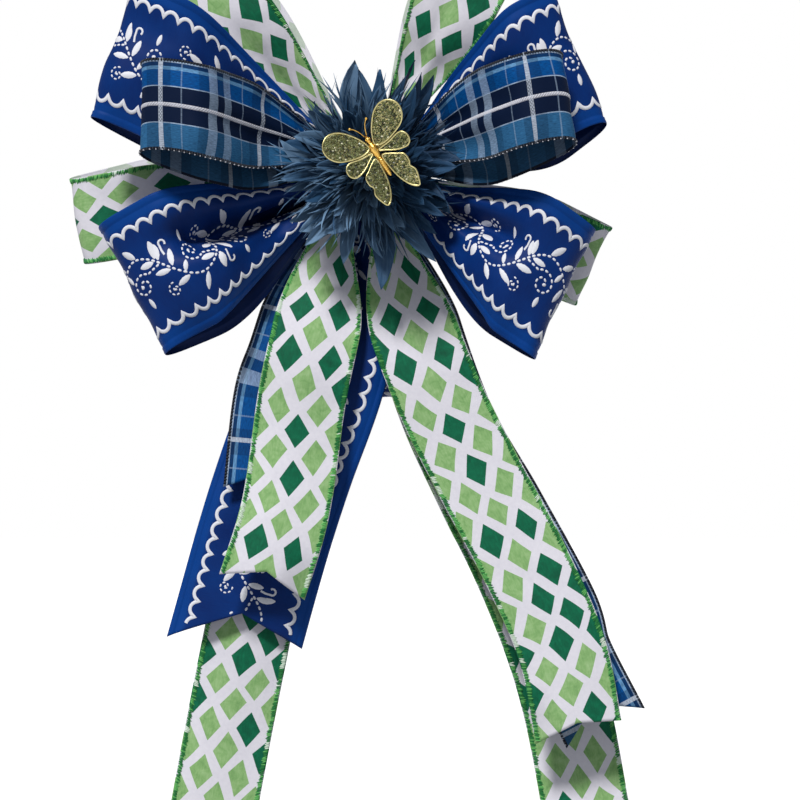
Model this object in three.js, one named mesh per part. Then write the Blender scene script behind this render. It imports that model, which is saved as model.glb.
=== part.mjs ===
// A layered wreath bow of three wired ribbons, with an artificial flower and a butterfly brooch at
// its centre. Millimetres, +Z up. The bow faces -Y and its origin is the twist of the tie behind
// the knot, so every piece lies at negative Y. Loops and tails leave the knot along rays from the
// Y axis, about which each of them can be turned by hand.
import * as THREE from "three";

// ---------------------------------------------------------------- driving dimensions
const BLUE_WIDTH = 101.6;
const NARROW_WIDTH = 63.5;
const RIBBON_THICKNESS = 0.8;
const GAP = 0.3;

const KNOT_RADIUS = 14.5;
const ROOT_RADIUS = 15.5;
const TIE_RADIUS = 12.3;
const WIRE_RADIUS = 1.5;
const NOTCH_RADIUS = 10.2;
const NOTCH_HALF_ANGLE = 0.16;

// Where each layer sits along Y: its two roots in the knot, and its fullest depth out in the loop.
const GREEN_LOOP = { frontRoot: -16, backRoot: -9, front: -40, back: -8 };
const BOTTOM_LOOP = { frontRoot: -14, backRoot: -9, front: -30, back: -8 };
const BLUE_LOOP = { frontRoot: -50, backRoot: -43, front: -108, back: -71 };
const PLAID_LOOP = { frontRoot: -60, backRoot: -54, front: -144, back: -112 };
const LONG_TAIL = { root: -22, out: -44, end: -32 };
const BLUE_TAIL = { root: -27, out: -51, end: -46 };
const PLAID_TAIL = { root: -32, out: -58, end: -60 };
const FRONT_TAIL = { root: -37, out: -65, end: -78 };

const KNOT_LAYERS = [
  { name: "green_loop_gather", from: -5.5, to: -19, colour: 0x9ccb86 },
  { name: "tail_gather", from: -19.3, to: -39.7, colour: 0xc9d8cf },
  { name: "blue_loop_gather", from: -40, to: -52, colour: 0x0b3f8a },
  { name: "plaid_loop_gather", from: -52.3, to: -62.3, colour: 0x22508c },
];

// A ribbon's gather is the share of its width left in the knot, and fullAt the share of a loop's
// reach at which it is full again.
const BLUE = { width: BLUE_WIDTH, gather: 0.13, fullAt: 0.72, colour: 0x0a3f95 };
const GREEN = { width: NARROW_WIDTH, gather: 0.2, fullAt: 0.7, colour: 0x9ccb86 };
const PLAID = { width: NARROW_WIDTH, gather: 0.2, fullAt: 0.5, colour: 0x22508c };

// A loop's angle is its direction from the knot, 0 along +X and 90 along +Z. Lean turns its end
// from square, and drop lowers its back layer so that the inside shows below the front one.
const LOOP_SETS = [
  {
    ribbon: BLUE,
    layer: BLUE_LOOP,
    loops: [
      { name: "blue_loop_upper_left", angle: 156, reach: 200, lean: 7, drop: 6 },
      { name: "blue_loop_upper_right", angle: 27.5, reach: 168, lean: -7, drop: 16 },
      { name: "blue_loop_lower_left", angle: 208, reach: 190, lean: 0, drop: 14 },
      { name: "blue_loop_lower_right", angle: -34, reach: 166, lean: 8, drop: -10 },
    ],
  },
  {
    ribbon: BLUE,
    layer: BOTTOM_LOOP,
    loops: [{ name: "blue_loop_bottom", angle: -87, reach: 168, lean: 0, drop: 0 }],
  },
  {
    ribbon: GREEN,
    layer: GREEN_LOOP,
    loops: [
      { name: "green_loop_upper_left", angle: 133, reach: 196, lean: 3, drop: -8 },
      { name: "green_loop_upper_right", angle: 63, reach: 182, lean: -3, drop: -6 },
      { name: "green_loop_side_left", angle: 190.6, reach: 219, lean: 0, drop: -8 },
      { name: "green_loop_lower_right", angle: -24, reach: 178, lean: 0, drop: -6 },
    ],
  },
  {
    ribbon: PLAID,
    layer: PLAID_LOOP,
    loops: [
      { name: "plaid_loop_left", angle: 166.6, reach: 163, lean: 13, drop: 16 },
      { name: "plaid_loop_right", angle: 18, reach: 146, lean: -10, drop: 18 },
    ],
  },
];

// A tail's path is the line of its middle, as x and z, from the knot to its end, and its notch is
// how deep the V cut in that end is.
const TAILS = [
  {
    name: "green_tail_front_left", ribbon: GREEN, layer: FRONT_TAIL, notch: 12,
    path: [[-9, -14], [-28, -58], [-38, -115], [-49, -169], [-57, -228], [-64, -262], [-77, -303]],
  },
  {
    name: "green_tail_front_right", ribbon: GREEN, layer: FRONT_TAIL, notch: 7,
    path: [[9, -14], [22, -88], [48, -162], [76, -220], [110, -284], [137, -346], [150, -410]],
  },
  {
    name: "plaid_tail_left", ribbon: PLAID, layer: PLAID_TAIL, notch: 14,
    path: [[-10, -13], [-37, -76], [-56, -135], [-67, -169], [-74, -235]],
  },
  {
    name: "plaid_tail_right", ribbon: PLAID, layer: PLAID_TAIL, notch: 20,
    path: [[10, -13], [26, -90], [57, -182], [95, -250], [133, -320], [144, -355], [170, -406]],
  },
  {
    name: "blue_tail_left", ribbon: BLUE, layer: BLUE_TAIL, notch: 23,
    path: [[-9, -14], [-22, -90], [-38, -155], [-60, -216], [-78, -272], [-99, -347]],
  },
  {
    name: "green_tail_long_left", ribbon: GREEN, layer: LONG_TAIL, notch: 16,
    path: [[-10, -13], [-38, -90], [-61, -205], [-78, -284], [-90, -342], [-103, -407], [-117, -482]],
  },
  {
    name: "green_tail_long_right", ribbon: GREEN, layer: LONG_TAIL, notch: 16,
    path: [[10, -13], [27, -90], [50, -169], [79, -234], [105, -287], [129, -346], [145, -402], [160, -482]],
  },
];

// How much of its rise a loop's front and back layers have made at two fifths of its reach.
const FRONT_FLARE = 0.32;
const BACK_FLARE = 0.42;
// How far along a tail is at its full width.
const TAIL_FULL_WIDTH_AT = 110;
const TAIL_RISE = [15, 150];
const LOOP_STEPS = 26;
const TAIL_STEPS = 14;

// Each whorl is a ring of petals on the core: base is its depth there, and lift how far its tips
// come forward of that.
const WHORLS = [
  { name: "petal_whorl_1", petals: 13, reach: 72, base: -75.5, lift: 31 },
  { name: "petal_whorl_2", petals: 14, reach: 67, base: -79, lift: 35 },
  { name: "petal_whorl_3", petals: 14, reach: 59, base: -84, lift: 39 },
  { name: "petal_whorl_4", petals: 13, reach: 49, base: -90, lift: 41 },
  { name: "petal_whorl_5", petals: 11, reach: 38, base: -96, lift: 41 },
  { name: "petal_whorl_6", petals: 9, reach: 26, base: -103, lift: 34 },
];
const CORE_RADIUS = 9.5;
const CORE_BACK = -69;
const CORE_FRONT = -128;
const WHORL_HOLE = CORE_RADIUS + GAP;
const PETAL_THICKNESS = 1;
// How far the flower's axis is below the knot's.
const FLOWER_LOW = 5;

const BROOCH = { x: 4.5, y: -147.5, z: 2.5, turn: 33 };
const WING_THICKNESS = 1.4;
const WING_TILT = 14;
// Half of the butterfly, seen from the front with its head up: x away from the body, z up.
const WINGS = [
  {
    name: "fore",
    outline: [[3, 3.7], [4.9, 10.9], [9.7, 18.2], [15.5, 23.8], [22.5, 26], [28.7, 23.4], [31.7, 18.2],
      [30.7, 11.8], [25.9, 6.4], [17.2, 3], [8.7, 1.6]],
  },
  {
    name: "side",
    outline: [[3.2, -0.6], [12, 0.2], [21, 1.8], [25, -1], [25.2, -6], [21.5, -9], [14.5, -7.6], [7.5, -3.8]],
  },
  {
    name: "hind",
    outline: [[2.9, -5.2], [7.4, -6.6], [12, -9.6], [16.3, -12.6], [16.9, -18], [15.4, -21.3], [17.3, -26.1],
      [15.7, -32.4], [13.3, -36.3], [8.7, -32.6], [4.8, -24], [3, -14.1]],
  },
];

const group = new THREE.Group();

function material(colour, roughness, metalness = 0) {
  return new THREE.MeshStandardMaterial({ color: colour, roughness, metalness });
}

function place(name, geometry, look, parent = group) {
  const mesh = new THREE.Mesh(geometry, look);
  mesh.name = name;
  parent.add(mesh);
  return mesh;
}

const radians = THREE.MathUtils.degToRad;

// ---------------------------------------------------------------- ribbons

// How much of its flat width a ribbon shows, from gathered in the knot to full further out.
function spread(share, distance, fullAt) {
  return share + (1 - share) * THREE.MathUtils.smoothstep(distance, 0, fullAt);
}

// The solid between two sheets of points: rows of points with a normal, half a thickness each way.
function thinSolid(rows, thickness) {
  const columns = rows[0].length;
  const positions = [];
  for (const side of [1, -1])
    rows.forEach((row, i) => {
      const before = rows[Math.max(i - 1, 0)];
      const after = rows[Math.min(i + 1, rows.length - 1)];
      row.forEach((point, j) => {
        const along = after[j].clone().sub(before[j]);
        const across = row[Math.min(j + 1, columns - 1)].clone().sub(row[Math.max(j - 1, 0)]);
        const normal = along.cross(across).normalize();
        positions.push(...point.clone().addScaledVector(normal, (side * thickness) / 2));
      });
    });
  const at = (side, i, j) => side * rows.length * columns + i * columns + j;
  const faces = [];
  const quad = (a, b, c, d) => faces.push(a, b, c, a, c, d);
  for (let i = 0; i + 1 < rows.length; i++) {
    for (let j = 0; j + 1 < columns; j++) {
      quad(at(0, i, j), at(0, i + 1, j), at(0, i + 1, j + 1), at(0, i, j + 1));
      quad(at(1, i, j), at(1, i, j + 1), at(1, i + 1, j + 1), at(1, i + 1, j));
    }
    quad(at(0, i, 0), at(1, i, 0), at(1, i + 1, 0), at(0, i + 1, 0));
    const j = columns - 1;
    quad(at(0, i, j), at(0, i + 1, j), at(1, i + 1, j), at(1, i, j));
  }
  for (let j = 0; j + 1 < columns; j++) {
    quad(at(0, 0, j), at(0, 0, j + 1), at(1, 0, j + 1), at(1, 0, j));
    const i = rows.length - 1;
    quad(at(0, i, j), at(1, i, j), at(1, i, j + 1), at(0, i, j + 1));
  }
  const geometry = new THREE.BufferGeometry();
  geometry.setAttribute("position", new THREE.Float32BufferAttribute(positions, 3));
  geometry.setIndex(faces);
  geometry.computeVertexNormals();
  return geometry;
}

// The line down the middle of a loop: out along the front, round the end and back behind.
function loopPath({ angle, reach, drop }, layer) {
  const middle = (layer.front + layer.back) / 2;
  const mix = THREE.MathUtils.lerp;
  const outline = [
    [ROOT_RADIUS, layer.frontRoot, 0],
    [0.4 * reach, mix(layer.frontRoot, layer.front, FRONT_FLARE), 0],
    [0.72 * reach, layer.front, 0],
    [0.93 * reach, mix(middle, layer.front, 0.72), 0],
    [reach, middle, 0.25],
    [0.93 * reach, mix(middle, layer.back, 0.72), 0.6],
    [0.7 * reach, layer.back, 1],
    [0.4 * reach, mix(layer.backRoot, layer.back, BACK_FLARE), 0.8],
    [ROOT_RADIUS, layer.backRoot, 0],
  ];
  const cos = Math.cos(radians(angle));
  const sin = Math.sin(radians(angle));
  return new THREE.CatmullRomCurve3(
    outline.map(([out, y, low]) => new THREE.Vector3(cos * out, y, sin * out - low * drop)),
    false,
    "catmullrom",
    0.5,
  );
}

function loopGeometry(loop, ribbon, layer) {
  const path = loopPath(loop, layer);
  const square = radians(loop.angle + 90 + loop.lean);
  const across = new THREE.Vector3(Math.cos(square), 0, Math.sin(square));
  const rows = [];
  for (let i = 0; i <= LOOP_STEPS; i++) {
    const middle = path.getPointAt(i / LOOP_STEPS);
    const distance = Math.hypot(middle.x, middle.z) - ROOT_RADIUS;
    const width = ribbon.width * spread(ribbon.gather, distance, ribbon.fullAt * loop.reach);
    rows.push([-0.5, 0, 0.5].map((v) => middle.clone().addScaledVector(across, v * width)));
  }
  return thinSolid(rows, RIBBON_THICKNESS);
}

// A tail's depth at a distance from the knot: forward as it clears the loops, then its own way.
function tailDepth(layer, distance, length) {
  const clear = THREE.MathUtils.smoothstep(distance, ...TAIL_RISE);
  const hang = THREE.MathUtils.smoothstep(distance, TAIL_RISE[1], length);
  return layer.root + (layer.out - layer.root) * clear + (layer.end - layer.out) * hang;
}

function tailGeometry({ ribbon, layer, notch, path }) {
  const points = path.map(([x, z]) => new THREE.Vector3(x, 0, z));
  const curve = new THREE.CatmullRomCurve3(points, false, "catmullrom", 0.5);
  const length = curve.getLength();
  const rows = [];
  for (let i = 0; i <= TAIL_STEPS; i++)
    rows.push([-0.5, 0, 0.5].map((v) => {
      const share = (i / TAIL_STEPS) * (1 - ((1 - 2 * Math.abs(v)) * notch) / length);
      const middle = curve.getPointAt(share);
      const along = curve.getTangentAt(share);
      const width = ribbon.width * spread(ribbon.gather, share * length, TAIL_FULL_WIDTH_AT);
      middle.y = tailDepth(layer, share * length, length);
      return middle.add(new THREE.Vector3(-along.z, 0, along.x).multiplyScalar(v * width));
    }));
  return thinSolid(rows, RIBBON_THICKNESS);
}

for (const { ribbon, layer, loops } of LOOP_SETS)
  for (const loop of loops)
    place(loop.name, loopGeometry(loop, ribbon, layer), material(ribbon.colour, 0.5));
for (const tail of TAILS) place(tail.name, tailGeometry(tail), material(tail.ribbon.colour, 0.5));

// ---------------------------------------------------------------- knot and tie

// An outline in the XZ plane made solid along Y, from one depth forward to another.
function slab(outline, from, to) {
  const shape = outline instanceof THREE.Shape ? outline : new THREE.Shape(outline);
  const geometry = new THREE.ExtrudeGeometry(shape, {
    depth: from - to,
    bevelEnabled: false,
    curveSegments: 6,
  });
  return geometry.rotateX(Math.PI / 2).translate(0, from, 0);
}

// The pleated waist of the ribbons, with a notch above and below where the tie bites in.
function gatherOutline() {
  const PLEATS = 22;
  const PLEAT_DEPTH = 0.5;
  const STEPS = 88;
  const outline = [];
  for (let i = 0; i < STEPS; i++) {
    const angle = (2 * Math.PI * i) / STEPS;
    const fromTie = Math.abs(Math.abs(Math.sin(angle)) - 1);
    const inNotch = fromTie < 1 - Math.cos(NOTCH_HALF_ANGLE);
    const pleated = KNOT_RADIUS - PLEAT_DEPTH * (1 - Math.cos(PLEATS * angle));
    const radius = inNotch ? NOTCH_RADIUS : pleated;
    outline.push(new THREE.Vector2(radius * Math.cos(angle), radius * Math.sin(angle)));
  }
  return outline;
}

for (const { name, from, to, colour } of KNOT_LAYERS)
  place(name, slab(gatherOutline(), from, to), material(colour, 0.6));

function wire(points, radius, steps) {
  const curve = new THREE.CatmullRomCurve3(points.map((p) => new THREE.Vector3(...p)));
  const section = new THREE.Shape();
  section.absarc(0, 0, radius, 0, 2 * Math.PI);
  return new THREE.ExtrudeGeometry(section, {
    extrudePath: curve,
    steps,
    curveSegments: 4,
    bevelEnabled: false,
  });
}

const CHENILLE = material(0x1d3f24, 0.9);
const TIE_FRONT = -66;
const TIE_BACK = -2.2;
const TWIST_RADIUS = 2.6;
const TIE_END = TWIST_RADIUS + WIRE_RADIUS + GAP;

place("centre_tie", wire([
  [0, TIE_BACK, -TIE_END],
  [0, TIE_BACK, -TIE_RADIUS + 1.5],
  [0, TIE_BACK - 3, -TIE_RADIUS],
  [0, (TIE_FRONT + TIE_BACK) / 2, -TIE_RADIUS],
  [0, TIE_FRONT + 3, -TIE_RADIUS],
  [0, TIE_FRONT, -TIE_RADIUS + 1.5],
  [0, TIE_FRONT, 0],
  [0, TIE_FRONT, TIE_RADIUS - 1.5],
  [0, TIE_FRONT + 3, TIE_RADIUS],
  [0, (TIE_FRONT + TIE_BACK) / 2, TIE_RADIUS],
  [0, TIE_BACK - 3, TIE_RADIUS],
  [0, TIE_BACK, TIE_RADIUS - 1.5],
  [0, TIE_BACK, TIE_END],
], WIRE_RADIUS, 60), CHENILLE);

// The twist of the tie's two ends: a lobed stub, turned as it goes.
function twistGeometry() {
  const LOBE = 0.5;
  const outline = [];
  for (let i = 0; i < 16; i++) {
    const angle = (2 * Math.PI * i) / 16;
    const radius = TWIST_RADIUS - LOBE * (1 - Math.cos(2 * angle)) / 2;
    outline.push(new THREE.Vector2(radius * Math.cos(angle), radius * Math.sin(angle)));
  }
  return slab(outline, 0, -5.2);
}

place("tie_twist", twistGeometry(), CHENILLE);
place("hanging_loop", wire([
  [-3.6, TIE_BACK, 5],
  [-6.5, TIE_BACK, 14],
  [-7, TIE_BACK, 24],
  [0, TIE_BACK, 31],
  [7, TIE_BACK, 24],
  [6.5, TIE_BACK, 14],
  [3.6, TIE_BACK, 5],
], 1.2, 28), CHENILLE);

// ---------------------------------------------------------------- flower

// Lathes a closed profile of radius and depth points about the Y axis.
function turned(profile, segments) {
  const points = profile.map(([radius, y]) => new THREE.Vector2(radius, y));
  return new THREE.LatheGeometry(points, segments);
}

const flower = new THREE.Group();
flower.position.z = -FLOWER_LOW;
group.add(flower);
const SLATE = material(0x33507a, 0.75);
const STEM_GREEN = material(0x2c4a34, 0.6);
const STAPLE_HALF = 4;

place("flower_core", turned([
  [0, CORE_FRONT],
  [4, CORE_FRONT + 1],
  [CORE_RADIUS - 2.5, CORE_FRONT + 8],
  [CORE_RADIUS, WHORLS[5].base],
  [CORE_RADIUS, CORE_BACK],
  [0, CORE_BACK],
], 24), STEM_GREEN, flower);

place("flower_backing", turned([
  [WHORL_HOLE, CORE_BACK - 3],
  [17, CORE_BACK - 3],
  [17, CORE_BACK - 1],
  [WHORL_HOLE, CORE_BACK - 1],
  [WHORL_HOLE, CORE_BACK - 3],
], 32), STEM_GREEN, flower);

// The staple of flower wire that hooks behind the tie.
place("flower_staple", wire([
  [-STAPLE_HALF, CORE_BACK + GAP, 0],
  [-STAPLE_HALF, CORE_BACK + 4, 0],
  [-STAPLE_HALF + 1, CORE_BACK + 5.6, 0],
  [STAPLE_HALF - 1, CORE_BACK + 5.6, 0],
  [STAPLE_HALF, CORE_BACK + 4, 0],
  [STAPLE_HALF, CORE_BACK + GAP, 0],
], 0.6, 16), STEM_GREEN, flower);

// A ring of petals as one thin dished star: sharp tips, rounded valleys.
function whorlGeometry({ petals, reach, base, lift }) {
  const SAMPLES = 4;
  const VALLEY = 0.68;
  const steps = petals * SAMPLES;
  const shares = [0, 0.5, 1];
  const point = (i, share, front) => {
    const angle = (2 * Math.PI * i) / steps;
    const tip = Math.abs(Math.cos((petals * angle) / 2));
    const rim = reach * (VALLEY + (1 - VALLEY) * tip);
    const radius = WHORL_HOLE + (rim - WHORL_HOLE) * share;
    const y = base - lift * (radius / reach) ** 1.3 - (front ? PETAL_THICKNESS : 0);
    return [radius * Math.cos(angle), y, radius * Math.sin(angle)];
  };
  const positions = [];
  for (const front of [true, false])
    for (const share of shares)
      for (let i = 0; i < steps; i++) positions.push(...point(i, share, front));
  const at = (side, ring, i) => (side * shares.length + ring) * steps + (i % steps);
  const faces = [];
  const quad = (a, b, c, d) => faces.push(a, b, c, a, c, d);
  const last = shares.length - 1;
  for (let i = 0; i < steps; i++) {
    for (let ring = 0; ring < last; ring++) {
      quad(at(0, ring, i), at(0, ring + 1, i), at(0, ring + 1, i + 1), at(0, ring, i + 1));
      quad(at(1, ring, i), at(1, ring, i + 1), at(1, ring + 1, i + 1), at(1, ring + 1, i));
    }
    quad(at(0, last, i), at(1, last, i), at(1, last, i + 1), at(0, last, i + 1));
    quad(at(0, 0, i), at(0, 0, i + 1), at(1, 0, i + 1), at(1, 0, i));
  }
  const geometry = new THREE.BufferGeometry();
  geometry.setAttribute("position", new THREE.Float32BufferAttribute(positions, 3));
  geometry.setIndex(faces);
  geometry.computeVertexNormals();
  return geometry;
}

for (const whorl of WHORLS) place(whorl.name, whorlGeometry(whorl), SLATE, flower);

// ---------------------------------------------------------------- butterfly brooch

const GOLD = material(0xc9b46c, 0.3, 1);
const GLITTER = material(0x6f7f45, 0.35);
const brooch = new THREE.Group();
brooch.position.set(BROOCH.x, BROOCH.y, BROOCH.z);
brooch.rotation.y = -radians(BROOCH.turn);
group.add(brooch);

// Body and head: one turned piece along Z, with its waist between thorax and abdomen.
function bodyGeometry() {
  const outline = [
    [0, -20], [1.2, -18.5], [1.9, -13], [2, -8], [1.4, -5], [2.3, -1],
    [2.5, 3], [1.3, 6.5], [1.9, 8.5], [1.7, 10.6], [0, 12],
  ];
  const geometry = turned(outline, 16);
  return geometry.rotateX(Math.PI / 2);
}

place("butterfly_body", bodyGeometry(), GOLD, brooch);

function centroid(points) {
  const sum = points.reduce((total, p) => total.add(p), new THREE.Vector2());
  return sum.divideScalar(points.length);
}

function wingOutline(points) {
  const corners = points.map(([x, z]) => new THREE.Vector3(x, z, 0));
  const curve = new THREE.CatmullRomCurve3(corners, true, "catmullrom", 0.5);
  return curve.getSpacedPoints(32).slice(0, -1).map((p) => new THREE.Vector2(p.x, p.y));
}

function scaledAbout(points, centre, factor) {
  return points.map((p) => p.clone().sub(centre).multiplyScalar(factor).add(centre));
}

const FILL_SIZE = 0.84;
const FILL_THICKNESS = 0.9;
for (const [side, mirror] of [["left", -1], ["right", 1]]) {
  const hinge = new THREE.Group();
  hinge.rotation.z = -mirror * radians(WING_TILT);
  brooch.add(hinge);
  for (const { name, outline } of WINGS) {
    const points = wingOutline(outline).map((p) => new THREE.Vector2(mirror * p.x, p.y));
    const inner = scaledAbout(points, centroid(points), FILL_SIZE);
    place(`${name}wing_frame_${side}`, slab(points, WING_THICKNESS, 0), GOLD, hinge);
    place(`${name}wing_glitter_${side}`, slab(inner, -GAP, -GAP - FILL_THICKNESS), GLITTER, hinge);
  }
  place(`antenna_${side}`, wire([
    [mirror * 0.9, -0.5, 12.2],
    [mirror * 2.2, -1.5, 16],
    [mirror * 4.5, -2.5, 20],
    [mirror * 7.5, -3, 22.5],
  ], 0.45, 10), GOLD, brooch);
}

// The bar behind the wings, with the pin hinged at one end and caught at the other.
const BAR_LENGTH = 26;
const BAR_Y = 4.2;
const PIN_Y = 7.5;
const PIN_END = BAR_LENGTH / 2 - 1.5;
const PIN_RADIUS = 0.45;

function box(width, depth, height, x, y, z) {
  return new THREE.BoxGeometry(width, depth, height).translate(x, y, z);
}

place("brooch_bar", box(BAR_LENGTH, 1, 4, 0, BAR_Y, 0), GOLD, brooch);
place("pin_hinge", box(2.4, 3, 3, -PIN_END, BAR_Y + 2.3, 0), GOLD, brooch);
place("pin_catch", box(3, 3.8, 3, PIN_END, BAR_Y + 2.7, -2.2), GOLD, brooch);
const pin = new THREE.CylinderGeometry(PIN_RADIUS, PIN_RADIUS, 2 * PIN_END - 0.8, 10);
place("pin_stem", pin.rotateZ(Math.PI / 2).translate(1.8, PIN_Y, 0), GOLD, brooch);

export default group;
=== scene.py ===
import math

import bpy
import numpy as np
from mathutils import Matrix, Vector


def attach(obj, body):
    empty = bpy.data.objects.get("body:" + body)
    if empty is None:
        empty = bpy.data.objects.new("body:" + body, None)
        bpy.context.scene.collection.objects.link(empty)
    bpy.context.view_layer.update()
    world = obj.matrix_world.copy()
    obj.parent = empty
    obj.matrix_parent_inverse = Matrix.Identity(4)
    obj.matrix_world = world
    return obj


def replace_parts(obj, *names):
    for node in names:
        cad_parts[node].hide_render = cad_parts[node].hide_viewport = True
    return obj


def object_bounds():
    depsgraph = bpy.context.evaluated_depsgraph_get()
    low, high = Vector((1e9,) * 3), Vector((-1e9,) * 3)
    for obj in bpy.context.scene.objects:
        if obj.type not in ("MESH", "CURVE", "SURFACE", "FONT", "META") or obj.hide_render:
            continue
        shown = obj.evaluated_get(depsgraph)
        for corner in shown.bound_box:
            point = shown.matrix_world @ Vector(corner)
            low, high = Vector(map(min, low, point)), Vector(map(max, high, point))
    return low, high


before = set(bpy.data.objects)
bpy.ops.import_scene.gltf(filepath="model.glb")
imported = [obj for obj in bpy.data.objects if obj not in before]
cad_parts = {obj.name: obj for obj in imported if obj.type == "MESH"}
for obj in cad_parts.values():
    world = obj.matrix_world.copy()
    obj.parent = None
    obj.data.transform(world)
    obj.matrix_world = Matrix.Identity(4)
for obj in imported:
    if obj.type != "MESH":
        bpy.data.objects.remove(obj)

# A layered wreath bow: three wired ribbons, an artificial flower and a butterfly brooch.
# Lengths are in millimetres until a mesh is made, which is in metres.
MM = 0.001
cad_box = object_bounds()


# ---------------------------------------------------------------- camera, light and stage

BOW_DEPTH = -60 * MM
VIEW_CENTRE = (21.6 * MM, -169.2 * MM)
VIEW_WIDTH = 576 * MM
CAMERA_DISTANCE = 2.1
SENSOR = 36


def make_camera():
    data = bpy.data.cameras.new("camera")
    data.sensor_width = SENSOR
    data.lens = SENSOR * CAMERA_DISTANCE / VIEW_WIDTH
    camera = bpy.data.objects.new("camera", data)
    camera.location = (VIEW_CENTRE[0], BOW_DEPTH - CAMERA_DISTANCE, VIEW_CENTRE[1])
    camera.rotation_euler = (math.radians(90), 0, 0)
    bpy.context.scene.collection.objects.link(camera)
    bpy.context.scene.camera = camera


def aimed(direction):
    """The rotation of a lamp that shines along a direction."""
    x, y, z = direction
    return (math.atan2(math.hypot(x, y), -z), 0, math.atan2(x, -y) + math.pi)


def make_light():
    key = bpy.data.lights.new("key", "SUN")
    key.energy = 2.75
    key.angle = math.radians(10)
    key.color = (1.0, 0.985, 0.96)
    lamp = bpy.data.objects.new("key", key)
    lamp.rotation_euler = aimed((0.3, 0.85, -0.9))
    bpy.context.scene.collection.objects.link(lamp)

    world = bpy.data.worlds.new("studio")
    world.use_nodes = True
    nodes, links = world.node_tree.nodes, world.node_tree.links
    shown = nodes["Background"]
    shown.inputs["Color"].default_value = (1, 1, 1, 1)
    lighting = nodes.new("ShaderNodeBackground")
    lighting.inputs["Color"].default_value = (0.93, 0.96, 1, 1)
    lighting.inputs["Strength"].default_value = 0.3
    path = nodes.new("ShaderNodeLightPath")
    mix = nodes.new("ShaderNodeMixShader")
    links.new(path.outputs["Is Camera Ray"], mix.inputs["Fac"])
    links.new(lighting.outputs["Background"], mix.inputs[1])
    links.new(shown.outputs["Background"], mix.inputs[2])
    links.new(mix.outputs["Shader"], nodes["World Output"].inputs["Surface"])
    bpy.context.scene.world = world
    bpy.context.scene.view_settings.view_transform = "Standard"


FLOOR_HALF = 6.0
FLOOR_COLOUR = (0.93, 0.93, 0.93, 1)


def make_floor():
    half = FLOOR_HALF
    below = cad_box[0][2] - 0.07
    corners = [(-half, -half, below), (half, -half, below), (half, half, below), (-half, half, below)]
    mesh = bpy.data.meshes.new("floor")
    mesh.from_pydata(corners, [], [(0, 1, 2, 3)])
    white = (1, 1, 1, 1)
    look = Look("floor", Base_Color=FLOOR_COLOUR, Roughness=0.9, Emission_Color=white, Emission_Strength=0.4)
    mesh.materials.append(look.material)
    floor = bpy.data.objects.new("floor", mesh)
    bpy.context.scene.collection.objects.link(floor)
    floor.visible_diffuse = False


# ---------------------------------------------------------------- materials


def linear(red, green, blue):
    """An sRGB colour of 0 to 255 as linear light, with alpha."""
    parts = [c / 255 for c in (red, green, blue)]
    return tuple(c / 12.92 if c <= 0.04045 else ((c + 0.055) / 1.055) ** 2.4 for c in parts) + (1.0,)


class Term:
    """A value in a material. Its arithmetic adds the nodes that work it out."""

    def __init__(self, look, socket):
        self.look, self.socket = look, socket

    def of(self, operation, *others):
        return self.look.math(operation, self, *others)

    def __add__(self, other):
        return self.of("ADD", other)

    def __sub__(self, other):
        return self.of("SUBTRACT", other)

    def __mul__(self, other):
        return self.of("MULTIPLY", other)

    def __truediv__(self, other):
        return self.of("DIVIDE", other)

    def scaled(self, factor, plus):
        return self.of("MULTIPLY_ADD", factor, plus)

    def clamped(self, low, high):
        return self.of("MINIMUM", high).of("MAXIMUM", low)


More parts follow.
